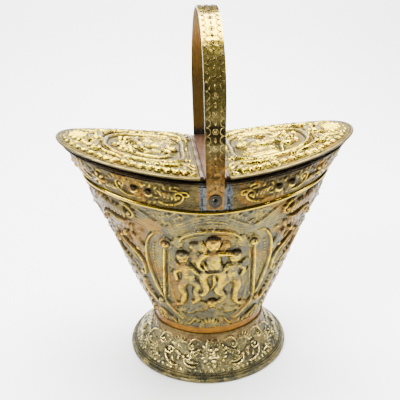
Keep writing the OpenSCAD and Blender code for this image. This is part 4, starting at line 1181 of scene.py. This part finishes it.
def stamped_brass(name, ground, middle, high, red, hollow, worn=(0.55, 0.92), redness=0.5, grain=1.0, ends=0.0,
                  lead=None, stain=None):
    """Embossed brass: dull in the ground, dark in the hollows, bright where hands and cloths rubbed it and
    where painted light lies, with painted highlights and painted shade.
    """
    f = Finish(name)
    wear, relief = f.attribute("wear"), f.attribute("relief")
    cloud, fleck, speck = f.noise(20, 4), f.noise(280, 3, seed=3.1), f.noise(700, 2, seed=9.0)
    body = f.mix((f.noise(48, 4, seed=1.7) + (speck - 0.5) * 0.5).step(0.42, 0.66), ground, middle)
    reddish = (f.noise(26, 4, seed=8.3) + relief * 0.10 + f.aside() * 0.6).step(0.57, 0.69) * redness
    body = f.mix(reddish, body, red)
    patch = f.noise(85, 2, seed=12.0)
    worn_and_lit = wear + relief * 0.17 + (fleck - 0.5) * 0.24 + (cloud - 0.5) * 0.2 + (patch - 0.5) * 0.55
    if ends:
        worn_and_lit = worn_and_lit - f.aside() * ends
    rubbed_and_sheen = worn_and_lit.step(*worn)
    warm = reddish * 0.4 + patch.step(0.46, 0.36) * redness * 0.7
    body = f.mix(rubbed_and_sheen, body, f.mix(warm, high, [part * 1.7 for part in red]))
    # painted highlight on the highest points
    body = f.mix(worn_and_lit.step(worn[1] - 0.02, worn[1] + 0.2), body, [0.03 + part * 1.75 for part in high])
    if ends:
        end = (f.aside() + (cloud - 0.5) * 0.06).step(0.075, 0.155)
        body = f.mix(end * 0.7, body, (0.042, 0.024, 0.012))
    tarnish = (wear + (fleck - 0.5) * 0.16).step(0.38, 0.20)
    body = f.mix(tarnish, body, hollow)
    # painted shade: near black where the mark falls to nothing, as under the lids' edges and on the fruits'
    # tops
    body = f.mix(wear.step(0.08, 0.01), body, (0.004, 0.003, 0.002))
    roughness = 0.36 - rubbed_and_sheen * 0.24 + tarnish * 0.3 + (speck - 0.5) * 0.2
    if stain:
        # reddish stain above a height
        reach = (f.axis("Z") + (cloud - 0.5) * 0.03 + (fleck - 0.5) * 0.006).step(stain[0], stain[0] + 0.004)
        body = f.mix(reach * (1 - tarnish) * 0.3, body, stain[1])
    if lead:
        # solder that ran over the sheet beside the handle's ends
        smear = (f.aside() + (cloud - 0.5) * 0.022 + (fleck - 0.5) * 0.008).step(0.0235, 0.0185)
        body = f.mix(smear, body, f.mix(fleck.step(0.4, 0.6), lead, [part * 0.2 for part in lead]))
        roughness = roughness + smear * 0.15
    matting = f.node("ShaderNodeTexVoronoi", {"feature": "SMOOTH_F1"},
                     {"Vector": f.place, "Scale": 520 * grain, "Smoothness": 0.3}, "Distance")
    normal = f.bump(matting * (1 - rubbed_and_sheen * 0.7), 0.0011, 0.6)
    normal = f.bump(f.noise(230, 4, seed=6.0), 0.0022, 0.6, normal)
    return f.metal(body, roughness, f.bump(patch, 0.004, 0.5, normal))


def streaked_metal(name, colour, dark, roughness=0.34, streak=(1, 1, 7), amount=0.6, foot=None, lines=(),
                   under=False, within=None):
    """Plain drawn or rolled metal with tarnish in streaks; dark below a height and along lines from front to
    back, painted shade on the underside of the lids' rolled edges and inside an upright oval tube."""
    f = Finish(name)
    streaks = f.noise(70, 5, stretch=streak)
    spots = f.noise(260, 2, seed=5.0)
    tint = streaks.step(0.38, 0.72) * amount + spots.step(0.62, 0.8) * 0.3
    body = f.mix(tint, colour, dark)
    if foot:
        body = f.mix((f.axis("Z") + (spots - 0.5) * 0.02).step(foot, foot - 0.012), body, (0.04, 0.044, 0.05))
    for line in lines:
        body = f.mix((f.aside() - line).size().step(0.0009, 0.0003), body, (0.012, 0.008, 0.006))
    # painted shade on the lower half of a lid's rolled edge
    if under:
        out = (f.aside() - HINGE_OUT * MM) / ((LID_HALF[0] - HINGE_OUT) * MM)
        edge = f.axis("Z") - HINGE_HIGH * MM - out ** LID_SADDLE_POWER * LID_RISE * MM
        body = f.mix(edge.step(0.0, -0.0006), body, (0.006, 0.005, 0.003))
    rough = roughness + tint * 0.22
    # painted shade inside the bead's oval, where the tub's inside lies in shade
    if within:
        oval = (f.axis("X") / within[0]) ** 2.0 + (f.axis("Y") / within[1]) ** 2.0
        inner = oval.step(1.005, 0.995)
        body = f.mix(inner, body, (0.012, 0.008, 0.004))
        rough = rough + inner * 0.6
    normal = f.bump(streaks + spots * 0.5, 0.0002, 0.5)
    return f.metal(body, rough, normal)


def lead_grey(name, colour, dark):
    """Lumpy, dull solder."""
    f = Finish(name)
    lumps = f.noise(160, 3)
    body = f.mix(lumps.step(0.4, 0.7), colour, dark)
    return f.metal(body, 0.42 + lumps * 0.2, f.bump(lumps, 0.0012, 0.7), 0.85)


def strap_brass(name, colours, raised):
    """The handle's strap: bright over the top, partly rubbed and partly a painted sheen, dark down its legs and
    reddish at its ends.
    """
    f = Finish(name)
    z, cloud, fleck = f.axis("Z"), f.noise(34, 4, seed=4.0), f.noise(240, 3, seed=2.0)
    # rubbed and painted sheen over the top of the arch
    rubbed_and_sheen = (z + (cloud - 0.5) * 0.16 + (fleck - 0.5) * 0.04).step(0.390, 0.455)
    red = (z + (cloud - 0.5) * 0.03).step(0.362, 0.344)
    if raised:
        flecked = f.mix(fleck.step(0.3, 0.7), (0.40, 0.30, 0.09), (0.16, 0.12, 0.04))
        body = f.mix(rubbed_and_sheen, flecked, (0.05, 0.035, 0.010))
    else:
        body = f.mix((cloud + (fleck - 0.5) * 0.4).step(0.35, 0.65), colours["hollow"],
                     [part * 1.4 for part in colours["middle"]])
        # painted reflection: paler on the shoulders of the arch, darker gold on the crown that faces up
        crown = (z + (cloud - 0.5) * 0.02).step(0.455, 0.49)
        bright = f.mix(crown, (0.80, 0.62, 0.14), colours["gold"])
        body = f.mix(rubbed_and_sheen, body, f.mix(fleck.step(0.42, 0.65) * 0.4, bright, colours["middle"]))
    body = f.mix(red * 0.85, body, f.mix(fleck.step(0.38, 0.6), colours["copper"], (0.05, 0.03, 0.012)))
    normal = f.bump(f.noise(65, 1, seed=7.0), 0.004, 0.35)
    return f.metal(body, 0.34 - rubbed_and_sheen * 0.14, f.bump(fleck + cloud, 0.0004, 0.5, normal))


# ================= what a user may change =================
def colour(name, description, default):
    return bpy.props.FloatVectorProperty(name=name, description=description, default=default, size=3,
                                         subtype="COLOR", min=0, max=1)


class ScuttleColours(bpy.types.PropertyGroup):
    ground: colour("Ground", "Grey-brown patina of the matted ground", (0.070, 0.066, 0.044))
    middle: colour("Brass", "Unpolished brass between ground and high points", (0.15, 0.12, 0.04))
    gold: colour("Gold", "High points rubbed bright", (0.40, 0.275, 0.0))
    green_ground: colour("Foot ground", "Greenish patina of the foot", (0.050, 0.048, 0.030))
    dull: colour("Foot brass", "Dull brass of the foot", (0.15, 0.125, 0.05))
    dull_gold: colour("Foot high points", "High points of the foot", (0.50, 0.40, 0.11))
    pale_ground: colour("Lid ground", "Ground of the lids", (0.080, 0.060, 0.014))
    pale_middle: colour("Lid brass", "Brass between ground and high points of the lids", (0.17, 0.13, 0.015))
    pale: colour("Pale brass", "High points of the lids", (0.32, 0.245, 0.0))
    pale_hollow: colour("Lid hollows", "Tarnish in the hollows of the lids", (0.032, 0.022, 0.008))
    copper: colour("Copper tone", "Plain reddish bands", (0.17, 0.072, 0.008))
    red: colour("Reddish patches", "Reddish tarnish in patches", (0.20, 0.092, 0.008))
    hollow: colour("Hollows", "Dark tarnish in the hollows", (0.036, 0.027, 0.012))
    lead: colour("Solder", "Grey soft solder", (0.068, 0.076, 0.080))


def gain(name, description, default, high=1.6):
    return bpy.props.FloatProperty(name=name, description=description, default=default, min=0.2, max=high)


def length(name, description, default, low, high):
    return bpy.props.FloatProperty(name=name, description=description, default=default, min=low, max=high,
                                   unit="LENGTH")


class ScuttleSizes(bpy.types.PropertyGroup):
    tub_gain: gain("Tub relief", "Height of the tub's work against its pattern", 1.15)
    collar_gain: gain("Collar relief", "Height of the collar's work", 1.1)
    foot_gain: gain("Foot relief", "Height of the foot's work", 0.9, 1.2)
    lid_gain: gain("Lid relief", "Height of the lids' work", 1.3)
    panel_shift: length("Panel shift", "How far the stamping sits left of the rivet", 0.005, 0, 0.01)
    rope_pitch: length("Rope pitch", "Distance from strand to strand of the rope wire", 0.0021, 0.001, 0.005)
    strap_pitch: length("Strap pitch", "Distance between the strap's studs and ovals", 0.0104, 0.006, 0.02)
    stud_radius: length("Stud radius", "Radius of the strap's studs", 0.0019, 0.001, 0.003)


def make_finishes(group):
    """Makes every material of the scuttle from the colours that a user may change."""
    c = {name: tuple(getattr(group, name)) for name in group.__annotations__}
    red, hollow = c["red"], c["hollow"]
    stamped_brass("Tub brass", c["ground"], c["middle"], c["gold"], red, hollow, ends=0.7)
    stamped_brass("Collar brass", hollow, [part * 0.46 for part in c["middle"]], c["gold"], red, hollow,
                  (0.62, 0.96), 0.5, lead=c["lead"])
    stamped_brass("Foot brass", c["green_ground"], c["dull"], c["dull_gold"], red, hollow, (0.56, 0.88), 0.12,
                  stain=((FOOT_HIGH - 13) * MM, c["copper"]))
    stamped_brass("Lid brass", c["pale_ground"], c["pale_middle"], c["pale"], red, c["pale_hollow"],
                  (0.50, 0.88), 0.4, 1.2)
    streaked_metal("Copper-toned sheet", c["copper"], (0.05, 0.033, 0.014), amount=0.8)
    streaked_metal("Handle lining", (0.24, 0.17, 0.07), (0.07, 0.045, 0.018), streak=(9, 1, 1), foot=0.340)
    streaked_metal("Bar sheet", (0.32, 0.17, 0.095), (0.10, 0.05, 0.03), 0.3, (4, 1, 1), lines=(0.0122, 0.0149))
    streaked_metal("Bright wire", (0.36, 0.245, 0.02), (0.10, 0.07, 0.015), 0.16, amount=0.5,
                   within=tuple((BEAD_HALF - BEAD_RADIUS) * MM))
    # the rope wire is painted near black: painted shade from the lids' edges above it
    streaked_metal("Rope wire", (0.022, 0.015, 0.006), (0.008, 0.006, 0.003), 0.32, amount=0.8)
    streaked_metal("Pale wire", (0.20, 0.15, 0.045), (0.05, 0.036, 0.014), amount=0.8, under=True)
    streaked_metal("Tarnished sheet", (0.12, 0.085, 0.03), hollow, 0.5, (2, 2, 1))
    # the lip inside the collar is painted near black: painted shadow under the lids' edges
    streaked_metal("Blackened sheet", (0.022, 0.016, 0.008), (0.008, 0.006, 0.004), 0.6, (2, 2, 1))
    streaked_metal("Rivet metal", (0.024, 0.022, 0.016), (0.008, 0.007, 0.006), 0.28, (1, 1, 1))
    streaked_metal("Iron wire", (0.10, 0.09, 0.07), (0.03, 0.025, 0.02), 0.6, (1, 1, 1))
    lead_grey("Lead solder", c["lead"], (0.035, 0.035, 0.03))
    for name, raised in (("Strap brass", False), ("Strap ornament brass", True)):
        strap_brass(name, c, raised)


def finishes():
    """The materials by name; the first call makes them."""
    if "Tub brass" not in bpy.data.materials:
        make_finishes(bpy.context.scene.scuttle_colours)
    return bpy.data.materials


# ================= the pieces =================
def sheet_fade(rows, cols):
    """1 over a sheet, running down to 0 at its edges and at the seam."""
    up, across = np.linspace(0, 1, rows)[:, None], np.linspace(-1, 1, cols)[None, :]
    seam = np.clip((1 - np.abs(across)) / 0.014, 0, 1)
    ends = np.minimum(np.clip(up / 0.012, 0, 1), np.clip((1 - up) / 0.01, 0, 1))
    return ends * (seam * seam * (3 - 2 * seam))


class SCUTTLE_OT_tub(bpy.types.Operator):
    """Stamps the two sheets of the tub"""
    bl_idname = "scuttle.tub"
    bl_label = "Tub sheets"

    def execute(self, context):
        sizes, relief = context.scene.scuttle_sizes, tub_relief()
        grid = 187, 361
        points, along, up = tub_surface(*grid)
        for side, turned in (("front", False), ("back", True)):
            emboss("tub_" + side, (points, along, up * TUB_TALL), relief, sizes.tub_gain,
                   sizes.panel_shift / MM, "scuttle", finishes()["Tub brass"],
                   ["body_" + side], sheet_fade(*grid), turned)
        return {"FINISHED"}


class SCUTTLE_OT_collar(bpy.types.Operator):
    """Stamps the two strips of the collar"""
    bl_idname = "scuttle.collar"
    bl_label = "Collar strips"

    def execute(self, context):
        sizes, relief = context.scene.scuttle_sizes, collar_relief()
        grid = 40, 487
        points, along, up = collar_surface(*grid)
        for side, turned in (("front", False), ("back", True)):
            emboss("collar_strip_" + side, (points, along, up * COLLAR_TALL), relief, sizes.collar_gain, 0,
                   "scuttle", finishes()["Collar brass"], ["collar_" + side],
                   sheet_fade(*grid), turned)
        return {"FINISHED"}


class SCUTTLE_OT_foot(bpy.types.Operator):
    """Stamps the foot's skirt, with its steps and rolled edge"""
    bl_idname = "scuttle.foot"
    bl_label = "Foot skirt"

    def execute(self, context):
        profile, count = foot_profile(), 720
        share = np.linspace(-2, 2, count, endpoint=False)
        points, along = [], []
        for out, height, _ in profile:
            x, y, fold = oval_places(share, out)
            points.append(np.stack([x, y, np.full(count, height)], 1))
            along.append(fold)
        points, along = np.array(points), np.array(along)
        down = np.repeat(profile[:, 2:], count, 1)
        relief = foot_relief(FOOT_QUARTER)
        stamped = np.clip(down / 1.5, 0, 1) * np.clip((FOOT_TALL - down) / 1.0, 0, 1) * (down >= 0)
        height = relief.read(relief.h, along, down) * stamped * context.scene.scuttle_sizes.foot_gain
        wear = np.where(down >= 0, 0.5 + (relief.read(relief.wear, along, down) - 0.5) * stamped, 0.55)
        wear[1:3] = 0.4
        roll = (profile[:, 0] > ROLL_CENTRE - 6) & (np.arange(len(profile)) < INSIDE_ROW)
        wear[roll] = 0.56
        wear[STEP_ROW + 1:STEP_ROW + 3], wear[STEP_ROW + 6:STEP_ROW + 8] = 0.15, 0.1
        wear[INSIDE_ROW:] = 0.3
        out = -normals(points, (True, True))
        points = points + out * height[..., None]
        faces = [face[::-1] for face in grid_faces(*points.shape[:2], wrap=(True, True))]
        make_piece("foot", points, faces, "scuttle", finishes()["Foot brass"], ["foot_skirt"],
                   {"relief": height / 5, "wear": wear}, crease=60)
        return {"FINISHED"}


class SCUTTLE_OT_lids(bpy.types.Operator):
    """Stamps the two lid panels"""
    bl_idname = "scuttle.lids"
    bl_label = "Lid panels"

    def execute(self, context):
        sizes, relief = context.scene.scuttle_sizes, lid_relief()
        for name, side in (("right", 1), ("left", -1)):
            points, out, y = lid_surface(229, 187, side)
            # both panels come from one stamp, so the left one is the right one turned round
            fade = np.clip((out - LID_START) / 4, 0, 1)
            emboss("lid_panel_" + name, (points, out, y * side), relief, sizes.lid_gain, 0, name + "_lid",
                   finishes()["Lid brass"], ["lid_" + name], fade, flip=side < 0)
        return {"FINISHED"}


def ring_path(half, height, first=-math.pi, last=math.pi, closed=True):
    """A line round an oval, with its height as a function of x."""
    turn = np.linspace(first, last, 240, endpoint=not closed)
    x = half[0] * np.sin(turn)
    return {"points": np.stack([x, -half[1] * np.cos(turn), height(x)], 1), "closed": closed}


class SCUTTLE_OT_wires(bpy.types.Operator):
    """Lays the bead, the rope wire and the rolled edges of the lids"""
    bl_idname = "scuttle.wires"
    bl_label = "Bead, rope and lid edges"

    def execute(self, context):
        bright, pale = wire_tree(finishes()["Bright wire"]), wire_tree(finishes()["Pale wire"])
        bead = ring_path(BEAD_HALF - BEAD_RADIUS, lambda x: BEAD_LOW + saddle(x, BEAD_RISE))
        bright.run("bead_wire", [bead], {"Radius": BEAD_RADIUS * MM, "Sides": 20},
                   "scuttle", "bright_brass", ["collar_bead"])
        gap = math.asin((STRAP_END_WIDTH / 2 + 1) / RIM_HALF[0])
        oval = RIM_HALF + ROPE_RADIUS + 0.2
        ropes = [ring_path(oval, lambda x: RIM_LOW + saddle(x, RIM_RISE), first, last, False)
                 for first, last in ((gap, math.pi - gap), (-math.pi + gap, -gap))]
        rope_tree(finishes()["Rope wire"]).run(
            "rope_wire", ropes,
            {"Radius": ROPE_RADIUS * MM, "Pitch": context.scene.scuttle_sizes.rope_pitch, "Lean": 0.6},
            "scuttle", "bright_brass", ["rim_rope"])
        (far, deep), power = LID_HALF - LID_EDGE_RADIUS, LID_POWER
        limit = math.atan2(lid_corner(far, deep), LID_START)
        turn = np.linspace(-limit, limit, 181)
        c, s = np.cos(turn), np.sin(turn)
        reach = ((np.abs(c) / far) ** power + (np.abs(s) / deep) ** power) ** (-1 / power)
        for name, side in (("left", -1), ("right", 1)):
            edge = np.stack([side * reach * c, reach * s, HINGE_HIGH + lid_saddle(reach * c)], 1)
            pale.run("lid_roll_" + name, [{"points": edge}], {"Radius": LID_EDGE_RADIUS * MM, "Sides": 14},
                     name + "_lid", "pale_brass", ["lid_edge_" + name])
        return {"FINISHED"}


class SCUTTLE_OT_lip(bpy.types.Operator):
    """Makes the plain lip inside the collar"""
    bl_idname = "scuttle.lip"
    bl_label = "Inner lip"

    def execute(self, context):
        top, outer, inner = HINGE_HIGH - WALL / 2 - SEAT, WALL + SEAT, 2 * WALL + SEAT

        def section(turn):
            rows = []
            for inset, up in ((outer, 0), (outer, 1), (outer, 2), (inner, 2), (inner, 1), (inner, 0)):
                v = 1 if up else 1 - LIP_LAP / (RIM_LOW - COLLAR_LOW)
                half = collar_half(v) - inset
                x = half[0] * math.sin(turn)
                z = collar_height(v, x)
                if up == 2:
                    z = top + float(lid_saddle((RIM_HALF[0] - outer) * math.sin(turn)))
                rows.append((x, -half[1] * math.cos(turn), z))
            return rows

        # painted shadow under the lids' edges, on the lip inside the collar
        ring_piece("inner_lip", section, "scuttle", finishes()["Blackened sheet"], ["rim_lip"])
        return {"FINISHED"}


class SCUTTLE_OT_strap(bpy.types.Operator):
    """Stamps studs, ovals and scallops along the handle's strap"""
    bl_idname = "scuttle.strap"
    bl_label = "Strap ornament"

    def execute(self, context):
        sizes = context.scene.scuttle_sizes
        reach = STRAP_OUT - 0.6
        centre = STRAP_HIGH - STRAP_OUT
        leg = np.linspace(RIM_LOW - 6, centre, 12)[:-1]
        turn = np.linspace(0, math.pi, 61)
        y = np.concatenate([np.full(11, -reach), -reach * np.cos(turn), np.full(11, reach)])
        z = np.concatenate([leg, centre + reach * np.sin(turn), leg[::-1]])
        half = 9.4 + 1.7 * np.clip((z - RIM_LOW) / (centre - RIM_LOW), 0, 1)
        path = {"points": np.stack([0 * y, y, z], 1), "marks": {"half": half * MM}}
        strap_tree(finishes()["Strap ornament brass"]).run(
            "strap_ornament", [path],
            {"Pitch": sizes.strap_pitch, "Scallop": 0.0049, "Stud": sizes.stud_radius, "Bead": 0.00056},
            "scuttle", "embossed_brass")
        return {"FINISHED"}


class SCUTTLE_OT_fittings(bpy.types.Operator):
    """Gives the plain fittings their finishes"""
    bl_idname = "scuttle.fittings"
    bl_label = "Fittings"

    def execute(self, context):
        made = finishes()
        for finish, nodes in {
                "Iron wire": "foot_wire hinge_pin_left hinge_pin_right",
                "Tarnished sheet": "neck_ring tub_floor lid_hinge_left lid_hinge_right",
                "Copper-toned sheet": "neck_band rivet_burrs", "Bar sheet": "centre_bar",
                "Strap brass": "handle_strap", "Handle lining": "handle_backing",
                "Rivet metal": "rivet_washers handle_rivets", "Lead solder": "handle_solder"}.items():
            for node in nodes.split():
                for slot in frame["nodes"][node].material_slots:
                    slot.material = made[finish]
        return {"FINISHED"}


class SCUTTLE_OT_stage(bpy.types.Operator):
    """Sets the pale floor, the lights and the camera"""
    bl_idname = "scuttle.stage"
    bl_label = "Stage"

    def execute(self, context):
        scene = context.scene
        floor = Finish("Pale floor")
        paint = floor.metal((0.92, 0.92, 0.93), 0.6, metallic=0.0)
        depth = np.concatenate([[-0.8], [1.1], 1.1 + 0.5 * np.sin(np.linspace(0.1, math.pi / 2, 12)), [1.6]])
        height = np.concatenate([[0], [0], 0.5 - 0.5 * np.cos(np.linspace(0.1, math.pi / 2, 12)), [1.0]])
        points = [(x, d, h) for d, h in zip(depth, height) for x in (-4.0, 4.0)]
        mesh = bpy.data.meshes.new("floor")
        mesh.from_pydata(points, [], grid_faces(len(depth), 2))
        mesh.shade_smooth()
        mesh.materials.append(paint)
        stage = bpy.data.objects.new("floor", mesh)
        scene.collection.objects.link(stage)
        world = bpy.data.worlds.new("Studio")
        world.use_nodes = True
        world.node_tree.nodes["Background"].inputs["Color"].default_value = (0.9, 0.94, 1.0, 1)
        world.node_tree.nodes["Background"].inputs["Strength"].default_value = 0.12
        scene.world = world
        for name, at, size, power, tone in (
                ("window", (-1.5, -0.9, 1.5), (0.8, 0.6), 100, (1.0, 0.99, 0.96)),
                ("ceiling", (0.2, 0.5, 2.4), (2.4, 1.6), 460, (1.0, 1.0, 1.0)),
                ("fill", (1.6, -0.8, 1.0), (0.4, 0.6), 24, (1.0, 0.97, 0.92))):
            data = bpy.data.lights.new(name, "AREA")
            data.shape, data.size, data.size_y = "RECTANGLE", size[0], size[1]
            data.energy, data.color = power, tone
            lamp = bpy.data.objects.new(name, data)
            scene.collection.objects.link(lamp)
            lamp.location = at
            aim = np.array([0, 0, 0.25]) - np.array(at)
            lamp.rotation_euler = Vector(aim).to_track_quat("-Z", "Y").to_euler()
        self.camera(scene)
        return {"FINISHED"}

    def camera(self, scene):
        """The photograph's view: a phone held high in front, a little to the left."""
        around, raised, rolled = math.radians(-4.4), math.radians(22.24), math.radians(-0.82)
        side = np.array([math.cos(around), math.sin(around), 0])
        back = np.array([side[1] * math.cos(raised), -side[0] * math.cos(raised), math.sin(raised)])
        up = np.cross(back, side)
        right = math.cos(rolled) * side + math.sin(rolled) * up
        top = -math.sin(rolled) * side + math.cos(rolled) * up
        at = np.array([-0.0108, 0, 0.2491]) + back * 0.6953
        data = bpy.data.cameras.new("camera")
        data.sensor_width, data.lens = 36, 36 * 460 / 400
        camera = bpy.data.objects.new("camera", data)
        scene.collection.objects.link(camera)
        camera.matrix_world = Matrix([[right[k], top[k], back[k], at[k]] for k in range(3)] + [[0, 0, 0, 1]])
        scene.camera = camera


class SCUTTLE_PT_panel(bpy.types.Panel):
    """Lists the scuttle's pieces, sizes and colours"""
    bl_label = "Coal scuttle"
    bl_idname = "SCUTTLE_PT_panel"
    bl_space_type = "VIEW_3D"
    bl_region_type = "UI"
    bl_category = "Scuttle"

    def draw(self, context):
        for operator in OPERATORS:
            self.layout.operator(operator.bl_idname)
        for group in (context.scene.scuttle_sizes, context.scene.scuttle_colours):
            for name in group.__annotations__:
                self.layout.prop(group, name)


OPERATORS = (SCUTTLE_OT_tub, SCUTTLE_OT_collar, SCUTTLE_OT_foot, SCUTTLE_OT_lids, SCUTTLE_OT_wires,
             SCUTTLE_OT_lip, SCUTTLE_OT_strap, SCUTTLE_OT_fittings, SCUTTLE_OT_stage)
CLASSES = (ScuttleColours, ScuttleSizes, *OPERATORS, SCUTTLE_PT_panel)


def register():
    for item in CLASSES:
        bpy.utils.register_class(item)
    bpy.types.Scene.scuttle_colours = bpy.props.PointerProperty(type=ScuttleColours)
    bpy.types.Scene.scuttle_sizes = bpy.props.PointerProperty(type=ScuttleSizes)


def unregister():
    del bpy.types.Scene.scuttle_sizes, bpy.types.Scene.scuttle_colours
    for item in reversed(CLASSES):
        bpy.utils.unregister_class(item)


def main():
    """Registers the add-on and makes every piece."""
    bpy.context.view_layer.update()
    register()
    for operator in OPERATORS:
        group, name = operator.bl_idname.split(".")
        getattr(getattr(bpy.ops, group), name)()


if __name__ == "__main__":
    main()
